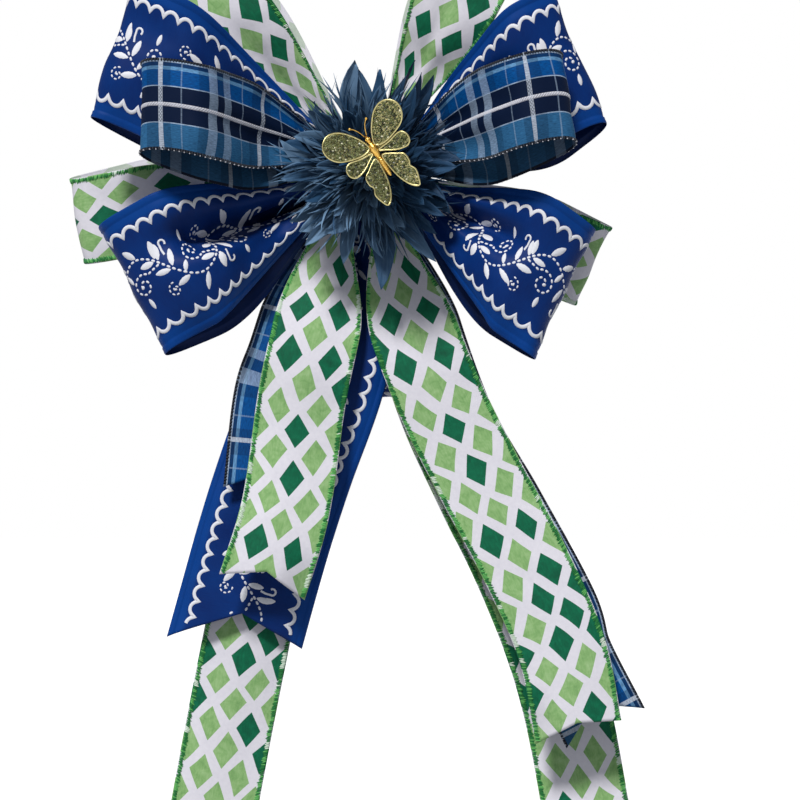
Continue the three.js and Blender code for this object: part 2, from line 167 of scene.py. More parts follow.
class Look:
    """A procedural material under construction. Each method adds a node and returns its output."""

    def __init__(self, name, **settings):
        self.material = bpy.data.materials.new(name)
        self.material.use_nodes = True
        self.tree = self.material.node_tree
        self.shader = self.tree.nodes["Principled BSDF"]
        for socket, value in settings.items():
            self.shader.inputs[socket.replace("_", " ")].default_value = value

    def node(self, kind, output=0, inputs=(), **settings):
        """Adds a node with its settings, feeds its inputs and returns one of its outputs."""
        made = self.tree.nodes.new(kind)
        for key, value in settings.items():
            setattr(made, key, value)
        for socket, value in dict(inputs).items():
            self.feed(made.inputs[socket], value)
        return Term(self, made.outputs[output])

    def feed(self, socket, value):
        if isinstance(value, Term):
            self.tree.links.new(value.socket, socket)
        else:
            socket.default_value = value

    def math(self, operation, *values):
        return self.node("ShaderNodeMath", 0, enumerate(values), operation=operation)

    def flat(self):
        """Distance along the cloth and across it from its middle, in millimetres."""
        uv = self.node("ShaderNodeUVMap", uv_map="flat")
        along = self.node("ShaderNodeSeparateXYZ", 0, {0: uv})
        across = self.node("ShaderNodeSeparateXYZ", 1, {0: uv})
        return along * 1000, across * 1000

    def vector(self, x, y, z=0.0):
        return self.node("ShaderNodeCombineXYZ", 0, enumerate((x, y, z)))

    def mix(self, factor, a, b):
        return self.node("ShaderNodeMix", 2, {0: factor, 6: a, 7: b}, data_type="RGBA", clamp_factor=True)

    def noise(self, vector, scale, detail=2.0, roughness=0.5, distortion=0.0):
        inputs = {"Vector": vector, "Scale": scale, "Detail": detail, "Roughness": roughness,
                  "Distortion": distortion}
        return self.node("ShaderNodeTexNoise", "Fac", inputs)

    def random(self, vector):
        return self.node("ShaderNodeTexWhiteNoise", "Value", {"Vector": vector}, noise_dimensions="3D")

    def place(self):
        """The point on the object, in metres."""
        return self.node("ShaderNodeTexCoord", "Object")

    def ramp(self, value, stops, mode="LINEAR"):
        """The colour of a ramp, and how opaque it is."""
        made = self.tree.nodes.new("ShaderNodeValToRGB")
        made.color_ramp.interpolation = mode
        elements = made.color_ramp.elements
        while len(elements) < len(stops):
            elements.new(0.5)
        for element, (position, colour) in zip(elements, stops):
            element.position = position
            element.color = colour
        self.feed(made.inputs[0], value)
        return Term(self, made.outputs["Color"]), Term(self, made.outputs["Alpha"])

    def attribute(self, name):
        return self.node("ShaderNodeAttribute", "Fac", attribute_name=name)

    def bump(self, height, distance):
        inputs = {"Strength": 1.0, "Distance": distance * MM, "Height": height}
        self.feed(self.shader.inputs["Normal"], self.node("ShaderNodeBump", 0, inputs))

    def weave(self, along, across, pitch, distance):
        """The bump of a plain weave with that thread pitch."""
        turn = 2 * math.pi / pitch
        over = (along * turn).of("SINE") * (across * turn).of("SINE")
        self.bump(over.scaled(0.5, 0.5), distance)

    def roughness(self, value):
        self.feed(self.shader.inputs["Roughness"], value)

    def colour(self, value):
        self.feed(self.shader.inputs["Base Color"], value)
        return self.material


def satin_look(name, lit, deep):
    """Ribbed satin, its ribs across the ribbon. Its colour drifts in patches between a lit and a shaded tone,
    painted light and shade, and deepens inside the hems.
    """
    look = Look(name, Specular_IOR_Level=0.1)
    along, across = look.flat()
    # Painted light and shade: the drift noise mixes the lit and the shaded tone in patches a few centimetres
    # across.
    drift = look.noise(look.vector(along, across), 0.035, 3.0)
    ribs = (along * (2 * math.pi / 0.5)).of("SINE")
    slub = look.noise(look.vector(along * 2.2, across * 0.12), 1.0, 2.0)
    look.roughness(slub.scaled(0.2, 0.34))
    look.bump(slub.scaled(0.6, ribs * 0.25), 0.06)
    hem = across.of("ABSOLUTE").scaled(0.16, -6.1).clamped(-0.12, 0.45)
    return look.colour(look.mix(slub.scaled(0.35, drift.scaled(0.7, hem)), deep, lit))


def grained_look(name, dark, lit, scale, rough, distance, **settings):
    """One material in two shades, with a fine grain in its colour, its roughness and its relief."""
    look = Look(name, **settings)
    grain = look.noise(look.place(), scale, 3.0)
    look.roughness(grain.scaled(*rough))
    look.bump(grain, distance)
    return look.colour(look.mix(grain, dark, lit))


def print_look():
    """Thick white ink."""
    dull, white = linear(226, 228, 240), linear(246, 247, 252)
    return grained_look("print_white", dull, white, 900.0, (0.2, 0.5), 0.06,
                        Specular_IOR_Level=0.3, Sheen_Weight=0.1)


def thread_look(name, dark, lit):
    return grained_look(name, dark, lit, 700.0, (0.25, 0.5), 0.15, Specular_IOR_Level=0.3, Sheen_Weight=0.2)


# The harlequin print: how far apart its diamonds are along and across the ribbon, and how large.
DIAMOND_ALONG = 34.4
DIAMOND_ACROSS = 28.6
DIAMOND_LENGTH = 25.8
DIAMOND_WIDTH = 18.0
EMERALD_FROM = 0.68


def harlequin_look(name, pale):
    """White cloth with rows of uneven watercolour diamonds. Pale is how far they show, 1 on the face."""
    look = Look(name, Specular_IOR_Level=0.2, Sheen_Weight=0.05)
    along, across = look.flat()
    wobble = look.noise(look.vector(along, across), 0.014, 1.0)
    sway = look.noise(look.vector(along + 61.0, across), 0.016, 1.0)
    rise = wobble.scaled(12.0, along) / DIAMOND_ALONG
    run = sway.scaled(9.0, across - 4.5) / DIAMOND_ACROSS
    up, down = rise + run, rise - run
    column, row = up.of("FLOOR"), down.of("FLOOR")
    in_up = up.of("FRACT") - 0.5
    in_down = down.of("FRACT") - 0.5
    pick = look.random(look.vector(column, row))
    lean = look.random(look.vector(row, column, 5.0)).scaled(0.44, -0.22)
    wide = (in_up - in_down) * (DIAMOND_ACROSS / DIAMOND_WIDTH)
    high = wide.scaled(lean, (in_up + in_down) * (DIAMOND_ALONG / DIAMOND_LENGTH))
    spread = high.of("ABSOLUTE") + wide.of("ABSOLUTE")
    size = look.random(look.vector(row, column, 3.0)).scaled(0.1, 0.95)
    ragged = look.noise(look.vector(along, across), 1.2, 2.0).scaled(0.05, -0.025)
    mask = ((size + ragged - spread) * 40.0).of("MAXIMUM", 0.0).of("MINIMUM", 1.0)
    wash = look.noise(look.vector(along, across), 0.14, 4.0, 0.6, 0.8)
    brush = look.noise(look.vector(along * 0.35, across * 1.5), 0.5, 3.0)
    wash = brush.scaled(0.35, wash * 0.7)
    sage, _ = look.ramp(wash, [
        (0.3, linear(112, 160, 96)), (0.5, linear(140, 184, 118)), (0.75, linear(168, 204, 146))])
    emerald, _ = look.ramp(wash, [
        (0.3, linear(0, 78, 54)), (0.55, linear(0, 102, 70)), (0.8, linear(10, 122, 84))])
    ink = look.mix(pick.of("GREATER_THAN", EMERALD_FROM), sage, emerald)
    cloud = look.noise(look.vector(along, across), 0.3, 3.0)
    ground = look.mix(cloud, linear(222, 220, 232), linear(240, 238, 247))
    look.roughness(cloud.scaled(0.15, 0.6))
    look.weave(along, across, 0.9, 0.06)
    return look.colour(look.mix(mask * pale, ground, ink))


# The plaid: how often it repeats along the ribbon, and how wide the white stitching across it is.
PLAID_REPEAT = 94.0
PLAID_STITCH = 3.0


def plaid_look(name, painted_shade):
    """Woven plaid: warp stripes along the ribbon, and weft bands across it. The last argument mixes it by
    that share towards a near-black: painted shade for its inside.
    """
    look = Look(name, Specular_IOR_Level=0.1)
    along, across = look.flat()
    light, royal, pale = linear(112, 168, 218), linear(0, 88, 164), linear(182, 206, 236)
    navy, steel, teal = linear(6, 24, 54), linear(56, 118, 168), linear(8, 60, 112)
    black, white, shadow = linear(4, 7, 14), linear(214, 224, 240), linear(6, 12, 28)
    clear = (0, 0, 0, 0)

    def sheer(colour, opacity):
        return colour[:3] + (opacity,)

    from_top = across.scaled(-1 / NARROW_WIDTH, 0.5)
    warp, _ = look.ramp(from_top, [
        (0, black), (0.025, pale), (0.04, teal), (0.085, light), (0.125, royal), (0.295, pale),
        (0.308, navy), (0.48, linear(214, 214, 230)), (0.52, navy), (0.695, pale), (0.705, steel),
        (0.965, black),
    ], "CONSTANT")
    turn = (along / PLAID_REPEAT).of("FRACT")
    stitch_end = PLAID_STITCH / PLAID_REPEAT
    weft, weft_here = look.ramp(turn, [
        (0, sheer(white, 0.85)), (stitch_end, sheer(navy, 0.35)), (0.13, clear), (0.228, sheer(pale, 0.42)),
        (0.24, clear), (0.37, sheer(pale, 0.5)), (0.45, sheer(navy, 0.4)), (0.53, sheer(pale, 0.58)),
        (0.62, sheer(navy, 0.3)), (0.70, clear), (0.83, sheer(pale, 0.35)), (0.842, clear),
        (0.93, sheer(navy, 0.35)),
    ], "CONSTANT")
    checks = ((along * 3.1).of("SINE") * (across * 2.5).of("SINE")).of("GREATER_THAN", 0.0)
    in_navy = from_top.of("GREATER_THAN", 0.3) * from_top.of("LESS_THAN", 0.7)
    chequer = in_navy * turn.of("LESS_THAN", stitch_end) * checks
    colour = look.mix(weft_here * chequer.scaled(-0.6, 1.0), warp, weft)
    slub = look.noise(look.vector(along * 0.5, across * 3.0), 0.6, 3.0)
    colour = look.mix(slub.scaled(1.5, -0.5), colour, navy)
    look.roughness(slub.scaled(0.2, 0.5))
    look.weave(along, across, 0.8, 0.08)
    # Painted shade: the inside is mixed towards the shadow colour.
    return look.colour(look.mix(painted_shade, colour, shadow))


def petal_look():
    """Dyed fabric petals: fine veins along each and a tint of its own each. The tint also holds painted shade
    on the flower's right side and painted light on its lower petals, and the near-black towards the base and
    on the backs is painted shade.
    """
    look = Look("petal_fabric", Specular_IOR_Level=0.3, Sheen_Weight=0.12, Sheen_Roughness=0.45,
                Sheen_Tint=linear(150, 185, 220))
    along, across = look.flat()
    veins = look.noise(look.vector(along * 0.05, across * 1.6), 1.0, 3.0)
    blotch = look.noise(look.place(), 90.0, 3.0)
    # The tint attribute is each petal's random tone, with painted light and shade in it.
    shade = veins.scaled(0.25, blotch.scaled(0.25, look.attribute("tint") * 0.7))
    blue, _ = look.ramp(shade, [
        (0.15, linear(8, 28, 54)), (0.5, linear(42, 82, 120)), (0.95, linear(116, 150, 184))])
    look.roughness(veins.scaled(0.25, 0.5))
    look.bump(veins, 0.25)
    # Painted shade: near-black towards each petal's base and on its back, where the depth attribute is low.
    return look.colour(look.mix(look.attribute("depth"), linear(3, 12, 28), blue))


def gold_look(name, dull, polished):
    look = Look(name, Metallic=1.0)
    wear = look.noise(look.place(), 260.0, 4.0)
    look.roughness(wear.scaled(0.22, 0.22))
    look.bump(look.noise(look.place(), 700.0, 3.0), 0.06)
    return look.colour(look.mix(wear, dull, polished))


def granule_look():
    """Crushed glass: olive grains, some nearly black and some bright."""
    look = Look("crushed_glass", Coat_Weight=0.3, Coat_Roughness=0.2, Specular_IOR_Level=0.5)
    colour, _ = look.ramp(look.attribute("tint"), [
        (0.0, linear(30, 34, 20)), (0.22, linear(84, 92, 52)), (0.6, linear(126, 132, 84)),
        (0.86, linear(168, 170, 126)), (0.95, linear(240, 236, 204)),
    ])
    grit = look.noise(look.place(), 1500.0, 2.0)
    look.roughness(grit.scaled(0.25, 0.28))
    look.bump(grit, 0.12)
    return look.colour(colour)


# ---------------------------------------------------------------- meshes


def smoothstep(value, low, high):
    share = np.clip((value - low) / (high - low), 0, 1)
    return share * share * (3 - 2 * share)


def unit(vectors):
    return vectors / np.linalg.norm(vectors, axis=-1)[..., None]


def seeded(name):
    """Random numbers of a piece's own, the same each run."""
    return np.random.default_rng(sum(map(ord, name)))


def travelled(line):
    """How far along a line each of its points lies."""
    return np.concatenate([[0], np.cumsum(np.linalg.norm(np.diff(line, axis=0), axis=1))])


def along_line(values, places, line):
    """The points of a line at some values of its own measure, such as the distance travelled."""
    return np.stack([np.interp(values, places, axis) for axis in line.T], 1)


def place(shape, name, looks, body, stands_for=None, smooth=True):
    """Makes the object, and hides the CAD node that it stands for."""
    made = shape.make(name, looks, body, smooth)
    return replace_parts(made, stands_for) if stands_for else made


class Shape:
    """Vertices, faces and their data, gathered piece by piece in millimetres and made into one object."""

    def __init__(self):
        self.points, self.faces, self.slots = [], [], []
        self.flat, self.tints, self.painted_shade_levels = [], [], []
        self.count = 0

    # Depth is a level of painted shade for each point, 1 for none, which only the petals' material reads.
    def add(self, points, faces, slot=0, flat=None, tint=0.5, depth=1.0):
        """Adds one piece. Faces is a list of arrays, each with one face's corners to a row."""
        points = np.asarray(points, float)
        total = len(points)
        self.points.append(points)
        self.faces += [np.asarray(group) + self.count for group in faces]
        self.slots.append(np.broadcast_to(slot, sum(len(group) for group in faces)))
        self.flat.append(np.zeros((total, 2)) if flat is None else np.asarray(flat, float))
        self.tints.append(np.broadcast_to(tint, total))
        self.painted_shade_levels.append(np.broadcast_to(depth, total))
        self.count += total

    def make(self, name, looks, body, smooth=True):
        mesh = bpy.data.meshes.new(name)
        corners = np.concatenate([group.ravel() for group in self.faces]).astype(np.int32)
        sizes = np.concatenate([np.full(len(group), group.shape[1]) for group in self.faces])
        starts = np.concatenate([[0], np.cumsum(sizes)[:-1]]).astype(np.int32)
        mesh.vertices.add(self.count)
        mesh.vertices.foreach_set("co", (np.vstack(self.points) * MM).astype(np.float32).ravel())
        mesh.loops.add(len(corners))
        mesh.loops.foreach_set("vertex_index", corners)
        mesh.polygons.add(len(starts))
        mesh.polygons.foreach_set("loop_start", starts)
        for look in looks:
            mesh.materials.append(look)
        mesh.polygons.foreach_set("material_index", np.concatenate(self.slots).astype(np.int32))
        mesh.polygons.foreach_set("use_smooth", np.full(len(starts), smooth))
        layer = mesh.uv_layers.new(name="flat")
        layer.data.foreach_set("uv", (np.vstack(self.flat)[corners] * MM).astype(np.float32).ravel())
        for key, values in (("tint", self.tints), ("depth", self.painted_shade_levels)):
            data = mesh.attributes.new(key, "FLOAT", "POINT").data
            data.foreach_set("value", np.concatenate(values).astype(np.float32))
        mesh.update(calc_edges=True)
        made = bpy.data.objects.new(name, mesh)
        bpy.context.scene.collection.objects.link(made)
        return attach(made, body)


def grid_faces(rows, columns, start=0):
    """The faces of a grid of points, as rows of four corners."""
    corner = start + np.arange((rows - 1) * columns).reshape(rows - 1, columns)[:, :-1].ravel()
    return np.stack([corner, corner + 1, corner + columns + 1, corner + columns], 1)

def rim_faces(rows, columns):
    """The faces that join the rims of two equal grids of points, the second one after the first."""
    first = np.arange(columns)
    last = first + (rows - 1) * columns
    left = np.arange(1, rows - 1) * columns
    rim = np.concatenate([[0], left, last, left[::-1] + columns - 1, first[:0:-1]])
    after = np.roll(rim, -1)
    count = rows * columns
    return np.stack([after, rim, rim + count, after + count], 1)


def shell_faces(rows, columns):
    """The faces of a closed shell of two equal grids of points, the second one behind the first."""
    behind = grid_faces(rows, columns, rows * columns)
    return [grid_faces(rows, columns), behind[:, ::-1], rim_faces(rows, columns)[:, ::-1]]

def flipped(faces):
    return [group[:, ::-1] for group in faces]

def tube(points, radius, sides=8, closed=False):
    """Points and faces of a tube along a line, with its ends closed by a fan unless it is a ring."""
    line = np.asarray(points, float)
    radius = np.broadcast_to(radius, len(line))
    if closed:
        along = np.roll(line, -1, 0) - np.roll(line, 1, 0)
    else:
        along = np.gradient(line, axis=0)
    along = unit(along)
    side = np.cross(along[0], (0.3, 0.5, 0.81))
    rings = []
    turn = np.arange(sides) * 2 * math.pi / sides
    for centre, forward, thick in zip(line, along, radius):
        side = side - forward * (side @ forward)
        side /= np.linalg.norm(side)
        other = np.cross(forward, side)
        rings.append(centre + thick * (np.cos(turn)[:, None] * side + np.sin(turn)[:, None] * other))
    count = len(line)
    i = np.arange(count if closed else count - 1)[:, None]
    j = np.arange(sides)[None, :]
    k, after = (j + 1) % sides, (i + 1) % count
    corners = [i * sides + j, i * sides + k, after * sides + k, after * sides + j]
    faces = [np.stack(corners, -1).reshape(-1, 4)]
    vertices = np.vstack(rings)
    if not closed:
        vertices = np.vstack([vertices, line[:1], line[-1:]])
        j, k = j[0], k[0]
        end = (count - 1) * sides
        faces.append(np.stack([0 * j + count * sides, k, j], 1))
        faces.append(np.stack([0 * j + count * sides + 1, end + j, end + k], 1))
    return vertices, faces


# ---------------------------------------------------------------- the ribbons' surfaces

ROOT_RADIUS = 15.5
BLUE_WIDTH = 101.6
NARROW_WIDTH = 63.5
CLOTH = 0.36
ROW_PITCH = 2.4
TAIL_FULL_WIDTH_AT = 110
TAIL_RISE = (15, 150)
FRONT_FLARE = 0.32
BACK_FLARE = 0.42

# Each cloth: its slot, its width, the share of its width left in the knot, the share of a loop's reach
# at which it is full again, and how many pleats it has there and how deep.
CLOTH_KEYS = ("slot", "width", "gather", "full_at", "pleats", "fold")
BLUE = dict(zip(CLOTH_KEYS, ("blue_satin", BLUE_WIDTH, 0.13, 0.72, 5, 4.0)))
GREEN = dict(zip(CLOTH_KEYS, ("harlequin_ribbon", NARROW_WIDTH, 0.2, 0.7, 4, 2.4)))
PLAID = dict(zip(CLOTH_KEYS, ("plaid_ribbon", NARROW_WIDTH, 0.2, 0.5, 4, 2.6)))

# Depths of a layer: front root, back root, front, back. The same as the CAD model's.
GREEN_LOOP = (-16, -9, -40, -8)
BOTTOM_LOOP = (-14, -9, -30, -8)
BLUE_LOOP = (-50, -43, -108, -71)
PLAID_LOOP = (-60, -54, -144, -112)

# Name: cloth, layer, angle, reach, lean, drop, arch of its middle line, how deep its crease is, how
# far across the ribbon the crease moves by the loop's end, and how far its lower hem rolls back.
LOOPS = {
    "blue_loop_upper_left": (BLUE, BLUE_LOOP, 156, 200, 7, 6, 0, 7, 0.1, 13),
    "blue_loop_upper_right": (BLUE, BLUE_LOOP, 27.5, 168, -7, 16, 0, 7, 0.1, 9),
    "blue_loop_lower_left": (BLUE, BLUE_LOOP, 208, 190, 0, 9, 0, 31, -0.3, 17),
    "blue_loop_lower_right": (BLUE, BLUE_LOOP, -34, 166, 8, 4, 0, 15, 0.1, 13),
    "blue_loop_bottom": (BLUE, BOTTOM_LOOP, -87, 168, 0, 0, 0, 4, 0, 2),
    "green_loop_upper_left": (GREEN, GREEN_LOOP, 133, 196, 3, -8, 0, 3, 0, 4),
    "green_loop_upper_right": (GREEN, GREEN_LOOP, 63, 182, -3, -6, 0, 3, 0, 4),
    "green_loop_side_left": (GREEN, GREEN_LOOP, 190.6, 219, 0, -8, 0, 3, 0, 4),
    "green_loop_lower_right": (GREEN, GREEN_LOOP, -24, 178, 0, -6, 0, 3, 0, 4),
    "plaid_loop_left": (PLAID, PLAID_LOOP, 166.6, 163, 13, 16, -5, 3, 0, 5),
    "plaid_loop_right": (PLAID, PLAID_LOOP, 18, 146, -10, 18, 5, 3, 0, 5),
}

# Name: cloth, depth at the root, further out and at the end, depth of the notch in the end, which
# corner curls back, and the path of its middle in x and z.
TAILS = {
    "green_tail_front_left": (GREEN, (-38, -68, -81), 12, 1, [
        (-9, -14), (-28, -58), (-38, -115), (-49, -169), (-57, -228), (-64, -262), (-77, -303)]),
    "green_tail_front_right": (GREEN, (-37, -63, -76), 7, -1, [
        (9, -14), (22, -88), (48, -162), (76, -220), (110, -284), (137, -346), (150, -410)]),
    "plaid_tail_left": (PLAID, (-32, -58, -61), 14, 0, [
        (-10, -13), (-37, -76), (-56, -135), (-67, -169), (-74, -235)]),
    "plaid_tail_right": (PLAID, (-32, -56, -59), 20, 0, [
        (10, -13), (26, -90), (57, -182), (95, -250), (133, -320), (144, -355), (170, -406)]),
    "blue_tail_left": (BLUE, (-27, -51, -48), 23, 1, [
        (-9, -14), (-22, -90), (-38, -155), (-60, -216), (-78, -272), (-101, -354)]),
    "green_tail_long_left": (GREEN, (-22, -42, -31), 16, 0, [
        (-10, -13), (-38, -90), (-61, -205), (-78, -284), (-90, -342), (-103, -407), (-117, -482)]),
    "green_tail_long_right": (GREEN, (-22, -41, -30), 16, 0, [
        (10, -13), (27, -90), (50, -169), (79, -234), (105, -287), (129, -346), (145, -402), (160, -482)]),
}
# How much shorter the right side of a tail's end is than the left one.
END_SLANT = {"blue_tail_left": 17.0, "green_tail_front_right": 6.0}
# Where the first white stitch across a plaid ribbon lies along it, and which way across it the print runs.
PLAID_PRINT = {
    "plaid_loop_left": (72.0, -1), "plaid_loop_right": (43.0, 1),
    "plaid_tail_left": (8.0, -1), "plaid_tail_right": (40.0, 1),
}
LINE_SAMPLES = 900


def smooth_line(corners, count=LINE_SAMPLES):
    """Evenly spaced points on the Catmull-Rom curve through the corners, and its length."""
    p = np.array(corners, float)
    p = np.vstack([2 * p[0] - p[1], p, 2 * p[-1] - p[-2]])
    t = np.linspace(0, 1, 60, endpoint=False)[:, None]
    spans = []
    for before, here, there, after in zip(p, p[1:], p[2:], p[3:]):
        leaving, arriving = (there - before) / 2, (after - here) / 2
        spans.append((2 * t**3 - 3 * t**2 + 1) * here + (t**3 - 2 * t**2 + t) * leaving
                     + (3 * t**2 - 2 * t**3) * there + (t**3 - t**2) * arriving)
    line = np.vstack(spans + [p[-2:-1]])
    places = travelled(line)
    return along_line(np.linspace(0, places[-1], count), places, line), places[-1]


def hem_columns(width, hem, pitch):
    """Places across a ribbon, from -0.5 to 0.5 of its width, closer together at its hems."""
    half = width / 2
    inner = np.linspace(half - hem[-1], 0, max(2, round((half - hem[-1]) / pitch)) + 1)[1:]
    one_side = np.concatenate([half - np.array(hem), inner]) / width
    return np.concatenate([-one_side, one_side[-2::-1]])


class Ribbon:
    """One ribbon as a surface: points and normals on a grid along its length and across its width."""

    def __init__(self, name, cloth, line, across, length, spreads, notch, relief):
        self.name, self.cloth, self.length, self.notch = name, cloth, length, notch
        self.slant = END_SLANT.get(name, 0.0)
        self.print_start, self.print_side = PLAID_PRINT.get(name, (0.0, 1))
        self.width = cloth["width"]
        hem = [0, 0.7, 1.5, 2.8, 4.4, 5.4, 6.2, 8] if cloth is BLUE else [0, 0.7, 1.5, 2.6, 4]
        self.columns = hem_columns(self.width, hem, 2.5 if cloth is BLUE else 2.0)
        rows = round(length / ROW_PITCH) + 1
        self.rows = rows
        kept = self.reach(self.columns * self.width) / length
        share = np.linspace(0, 1, rows)[:, None] * kept[None, :]
        at = share * (len(line) - 1)

        def sampled(values):
            values = np.asarray(values, float)
            index = np.arange(len(line))
            if values.ndim == 1:
                return np.interp(at, index, values)
            return np.stack([np.interp(at, index, axis) for axis in values.T], -1)

        outward = unit(np.cross(np.gradient(line, axis=0), across))
        v = np.broadcast_to(self.columns[None, :], share.shape)
        middle, sideways = sampled(line), sampled(across)
        width = self.width * sampled(spreads)
        lift, slide = relief(share, v, sampled(np.hypot(line[:, 0], line[:, 2]) - ROOT_RADIUS))
        beside = sideways * (v * width + slide)[..., None]
        self.points = middle + beside + sampled(outward) * lift[..., None]
        self.along = share * length
        self.normals = self.surface_normals()

    def surface_normals(self):
        along = np.gradient(self.points, axis=0)
        across = np.gradient(self.points, axis=1)
        normals = np.cross(along, across)
        return normals / np.maximum(np.linalg.norm(normals, axis=2), 1e-9)[..., None]

    def at(self, s, w, lift=0.0):
        """Points on the face, from distances along and across, raised by lift."""
        s, w = np.asarray(s, float), np.asarray(w, float)
        v = np.clip(w / self.width, -0.5, 0.5)
        row = np.clip(s / self.reach(w), 0, 1) * (self.rows - 1)
        column = np.interp(v, self.columns, np.arange(len(self.columns)))
        i = np.minimum(row.astype(int), self.rows - 2)
        j = np.minimum(column.astype(int), len(self.columns) - 2)
        a, b = (row - i)[..., None], (column - j)[..., None]

        def blended(grid):
            return ((1 - a) * (1 - b) * grid[i, j] + a * (1 - b) * grid[i + 1, j]
                    + (1 - a) * b * grid[i, j + 1] + a * b * grid[i + 1, j + 1])

        normal = unit(blended(self.normals))
        return blended(self.points) + normal * (np.asarray(lift, float)[..., None] + CLOTH / 2)

    def reach(self, w):
        """How far along the ribbon goes at a distance across it."""
        v = np.clip(w / self.width, -0.5, 0.5)
        return self.length - (1 - 2 * np.abs(v)) * self.notch - (v + 0.5) * self.slant

    def cloth_mesh(self, looks):
        """The cloth as a closed thin sheet: its face, its back and its rim."""
        rows, columns = self.points.shape[:2]
        half = self.normals * CLOTH / 2
        sides = [(self.points + half).reshape(-1, 3), (self.points - half).reshape(-1, 3)]
        faces = flipped(shell_faces(rows, columns))
        slots = np.repeat([0, 1, 2], [len(group) for group in faces])
        across = np.broadcast_to(self.columns[None, :] * self.width * self.print_side, (rows, columns))
        flat = np.stack([self.along - self.print_start, across], -1).reshape(-1, 2)
        shape = Shape()
        shape.add(np.vstack(sides), faces, slots, np.vstack([flat, flat]))
        return place(shape, self.name + "_cloth", looks, self.name, self.name)

def ripple(rng, count, short, long):
    """A gentle unevenness of a surface, from -1 to 1: a few waves of random length, direction and phase."""
    waves = [(rng.uniform(short, long), rng.uniform(0, 2 * math.pi), rng.uniform(0, 2 * math.pi))
             for _ in range(count)]

    def height(x, y):
        total = 0
        for wavelength, heading, phase in waves:
            forward = x * math.cos(heading) + y * math.sin(heading)
            total = total + np.sin(forward * 2 * math.pi / wavelength + phase)
        return total / count

    return height


def hem_height(cloth, v):
    """The hem stands proud of the cloth: a casing with a wire in it on the blue, a thin rim on the others."""
    inside = (0.5 - np.abs(v)) * cloth["width"]
    if cloth is BLUE:
        casing = 0.6 * (1 - smoothstep(inside, 4.4, 5.6)) - 0.3 * np.exp(-(((inside - 5.8) / 0.7) ** 2))
        return casing + 0.4 * np.exp(-(((inside - 1.0) / 1.0) ** 2))
    return 0.3 * (1 - smoothstep(inside, 1.6, 2.8))


def pleats(cloth, v, distance, phase):
    """The gathers that fan out from the knot: many small ones that open into fewer, wider ones."""
    fine = np.cos(2 * math.pi * cloth["pleats"] * v + phase) * (1 - smoothstep(distance, 8, 62))
    wide = np.cos(2 * math.pi * (cloth["pleats"] - 2) * v + phase * 1.7)
    wide = wide * smoothstep(distance, 12, 40) * (1 - smoothstep(distance, 50, 110))
    return cloth["fold"] * (fine + 0.55 * wide)


def loop_ribbon(name):
    cloth, painted_shade_levels, angle, reach, lean, drop, arch, crease, drift, roll = LOOPS[name]
    front_root, back_root, front, back = painted_shade_levels
    rng = seeded(name)
    middle = (front + back) / 2
    out_y_low = [
        (ROOT_RADIUS, front_root, 0),
        (0.4 * reach, front_root + (front - front_root) * FRONT_FLARE, 0),
        (0.72 * reach, front, 0),
        (0.93 * reach, middle + (front - middle) * 0.72, 0),
        (reach, middle, 0.25),
        (0.93 * reach, middle + (back - middle) * 0.72, 0.6),
        (0.7 * reach, back, 1),
        (0.4 * reach, back_root + (back - back_root) * BACK_FLARE, 0.8),
        (ROOT_RADIUS, back_root, 0),
    ]
    cos, sin = math.cos(math.radians(angle)), math.sin(math.radians(angle))
    line, length = smooth_line([(cos * out, y, sin * out - low * drop) for out, y, low in out_y_low])
    square = math.radians(angle + 90 + lean)
    across = np.tile((math.cos(square), 0.0, math.sin(square)), (len(line), 1))
    distance = np.hypot(line[:, 0], line[:, 2]) - ROOT_RADIUS
    spreads = cloth["gather"] + (1 - cloth["gather"]) * smoothstep(distance, 0, cloth["full_at"] * reach)
    dents = ripple(rng, 5, 38, 100)
    crinkles = ripple(rng, 6, 16, 34)
    phase = rng.uniform(-0.5, 0.5)

    def relief(share, v, d):
        on_front = 1 - smoothstep(share, 0.42, 0.52)
        on_back = smoothstep(share, 0.55, 0.68)
        open_share = smoothstep(d, 6, 40) * (1 - smoothstep(d, 0.45 * reach, 0.86 * reach))
        valley = np.exp(-(((v - 0.06 - drift * d / reach) / 0.12) ** 2))
        lift = pleats(cloth, v, d, phase) * (on_front - on_back)
        lift = lift - crease * valley * open_share * (on_front - 0.6 * on_back)
        hems = (2 * np.abs(v)) ** 2.6 * smoothstep(d, 30, 90) * np.where(v * math.sin(square) < 0, roll, 2.5)
        lift = lift - hems * on_front * (1 - smoothstep(d, 0.84 * reach, reach))
        lift = lift + 3.2 * dents(share * length, v * cloth["width"]) * smoothstep(d, 15, 60)
        lift = lift + 0.4 * crinkles(share * length, v * cloth["width"]) * smoothstep(d, 5, 30)
        slide = arch * np.sin(math.pi * np.clip(d / (reach - ROOT_RADIUS), 0, 1)) * np.ones_like(v)
        return lift + hem_height(cloth, v), slide

    return Ribbon(name, cloth, line, across, length, spreads, 0.0, relief)


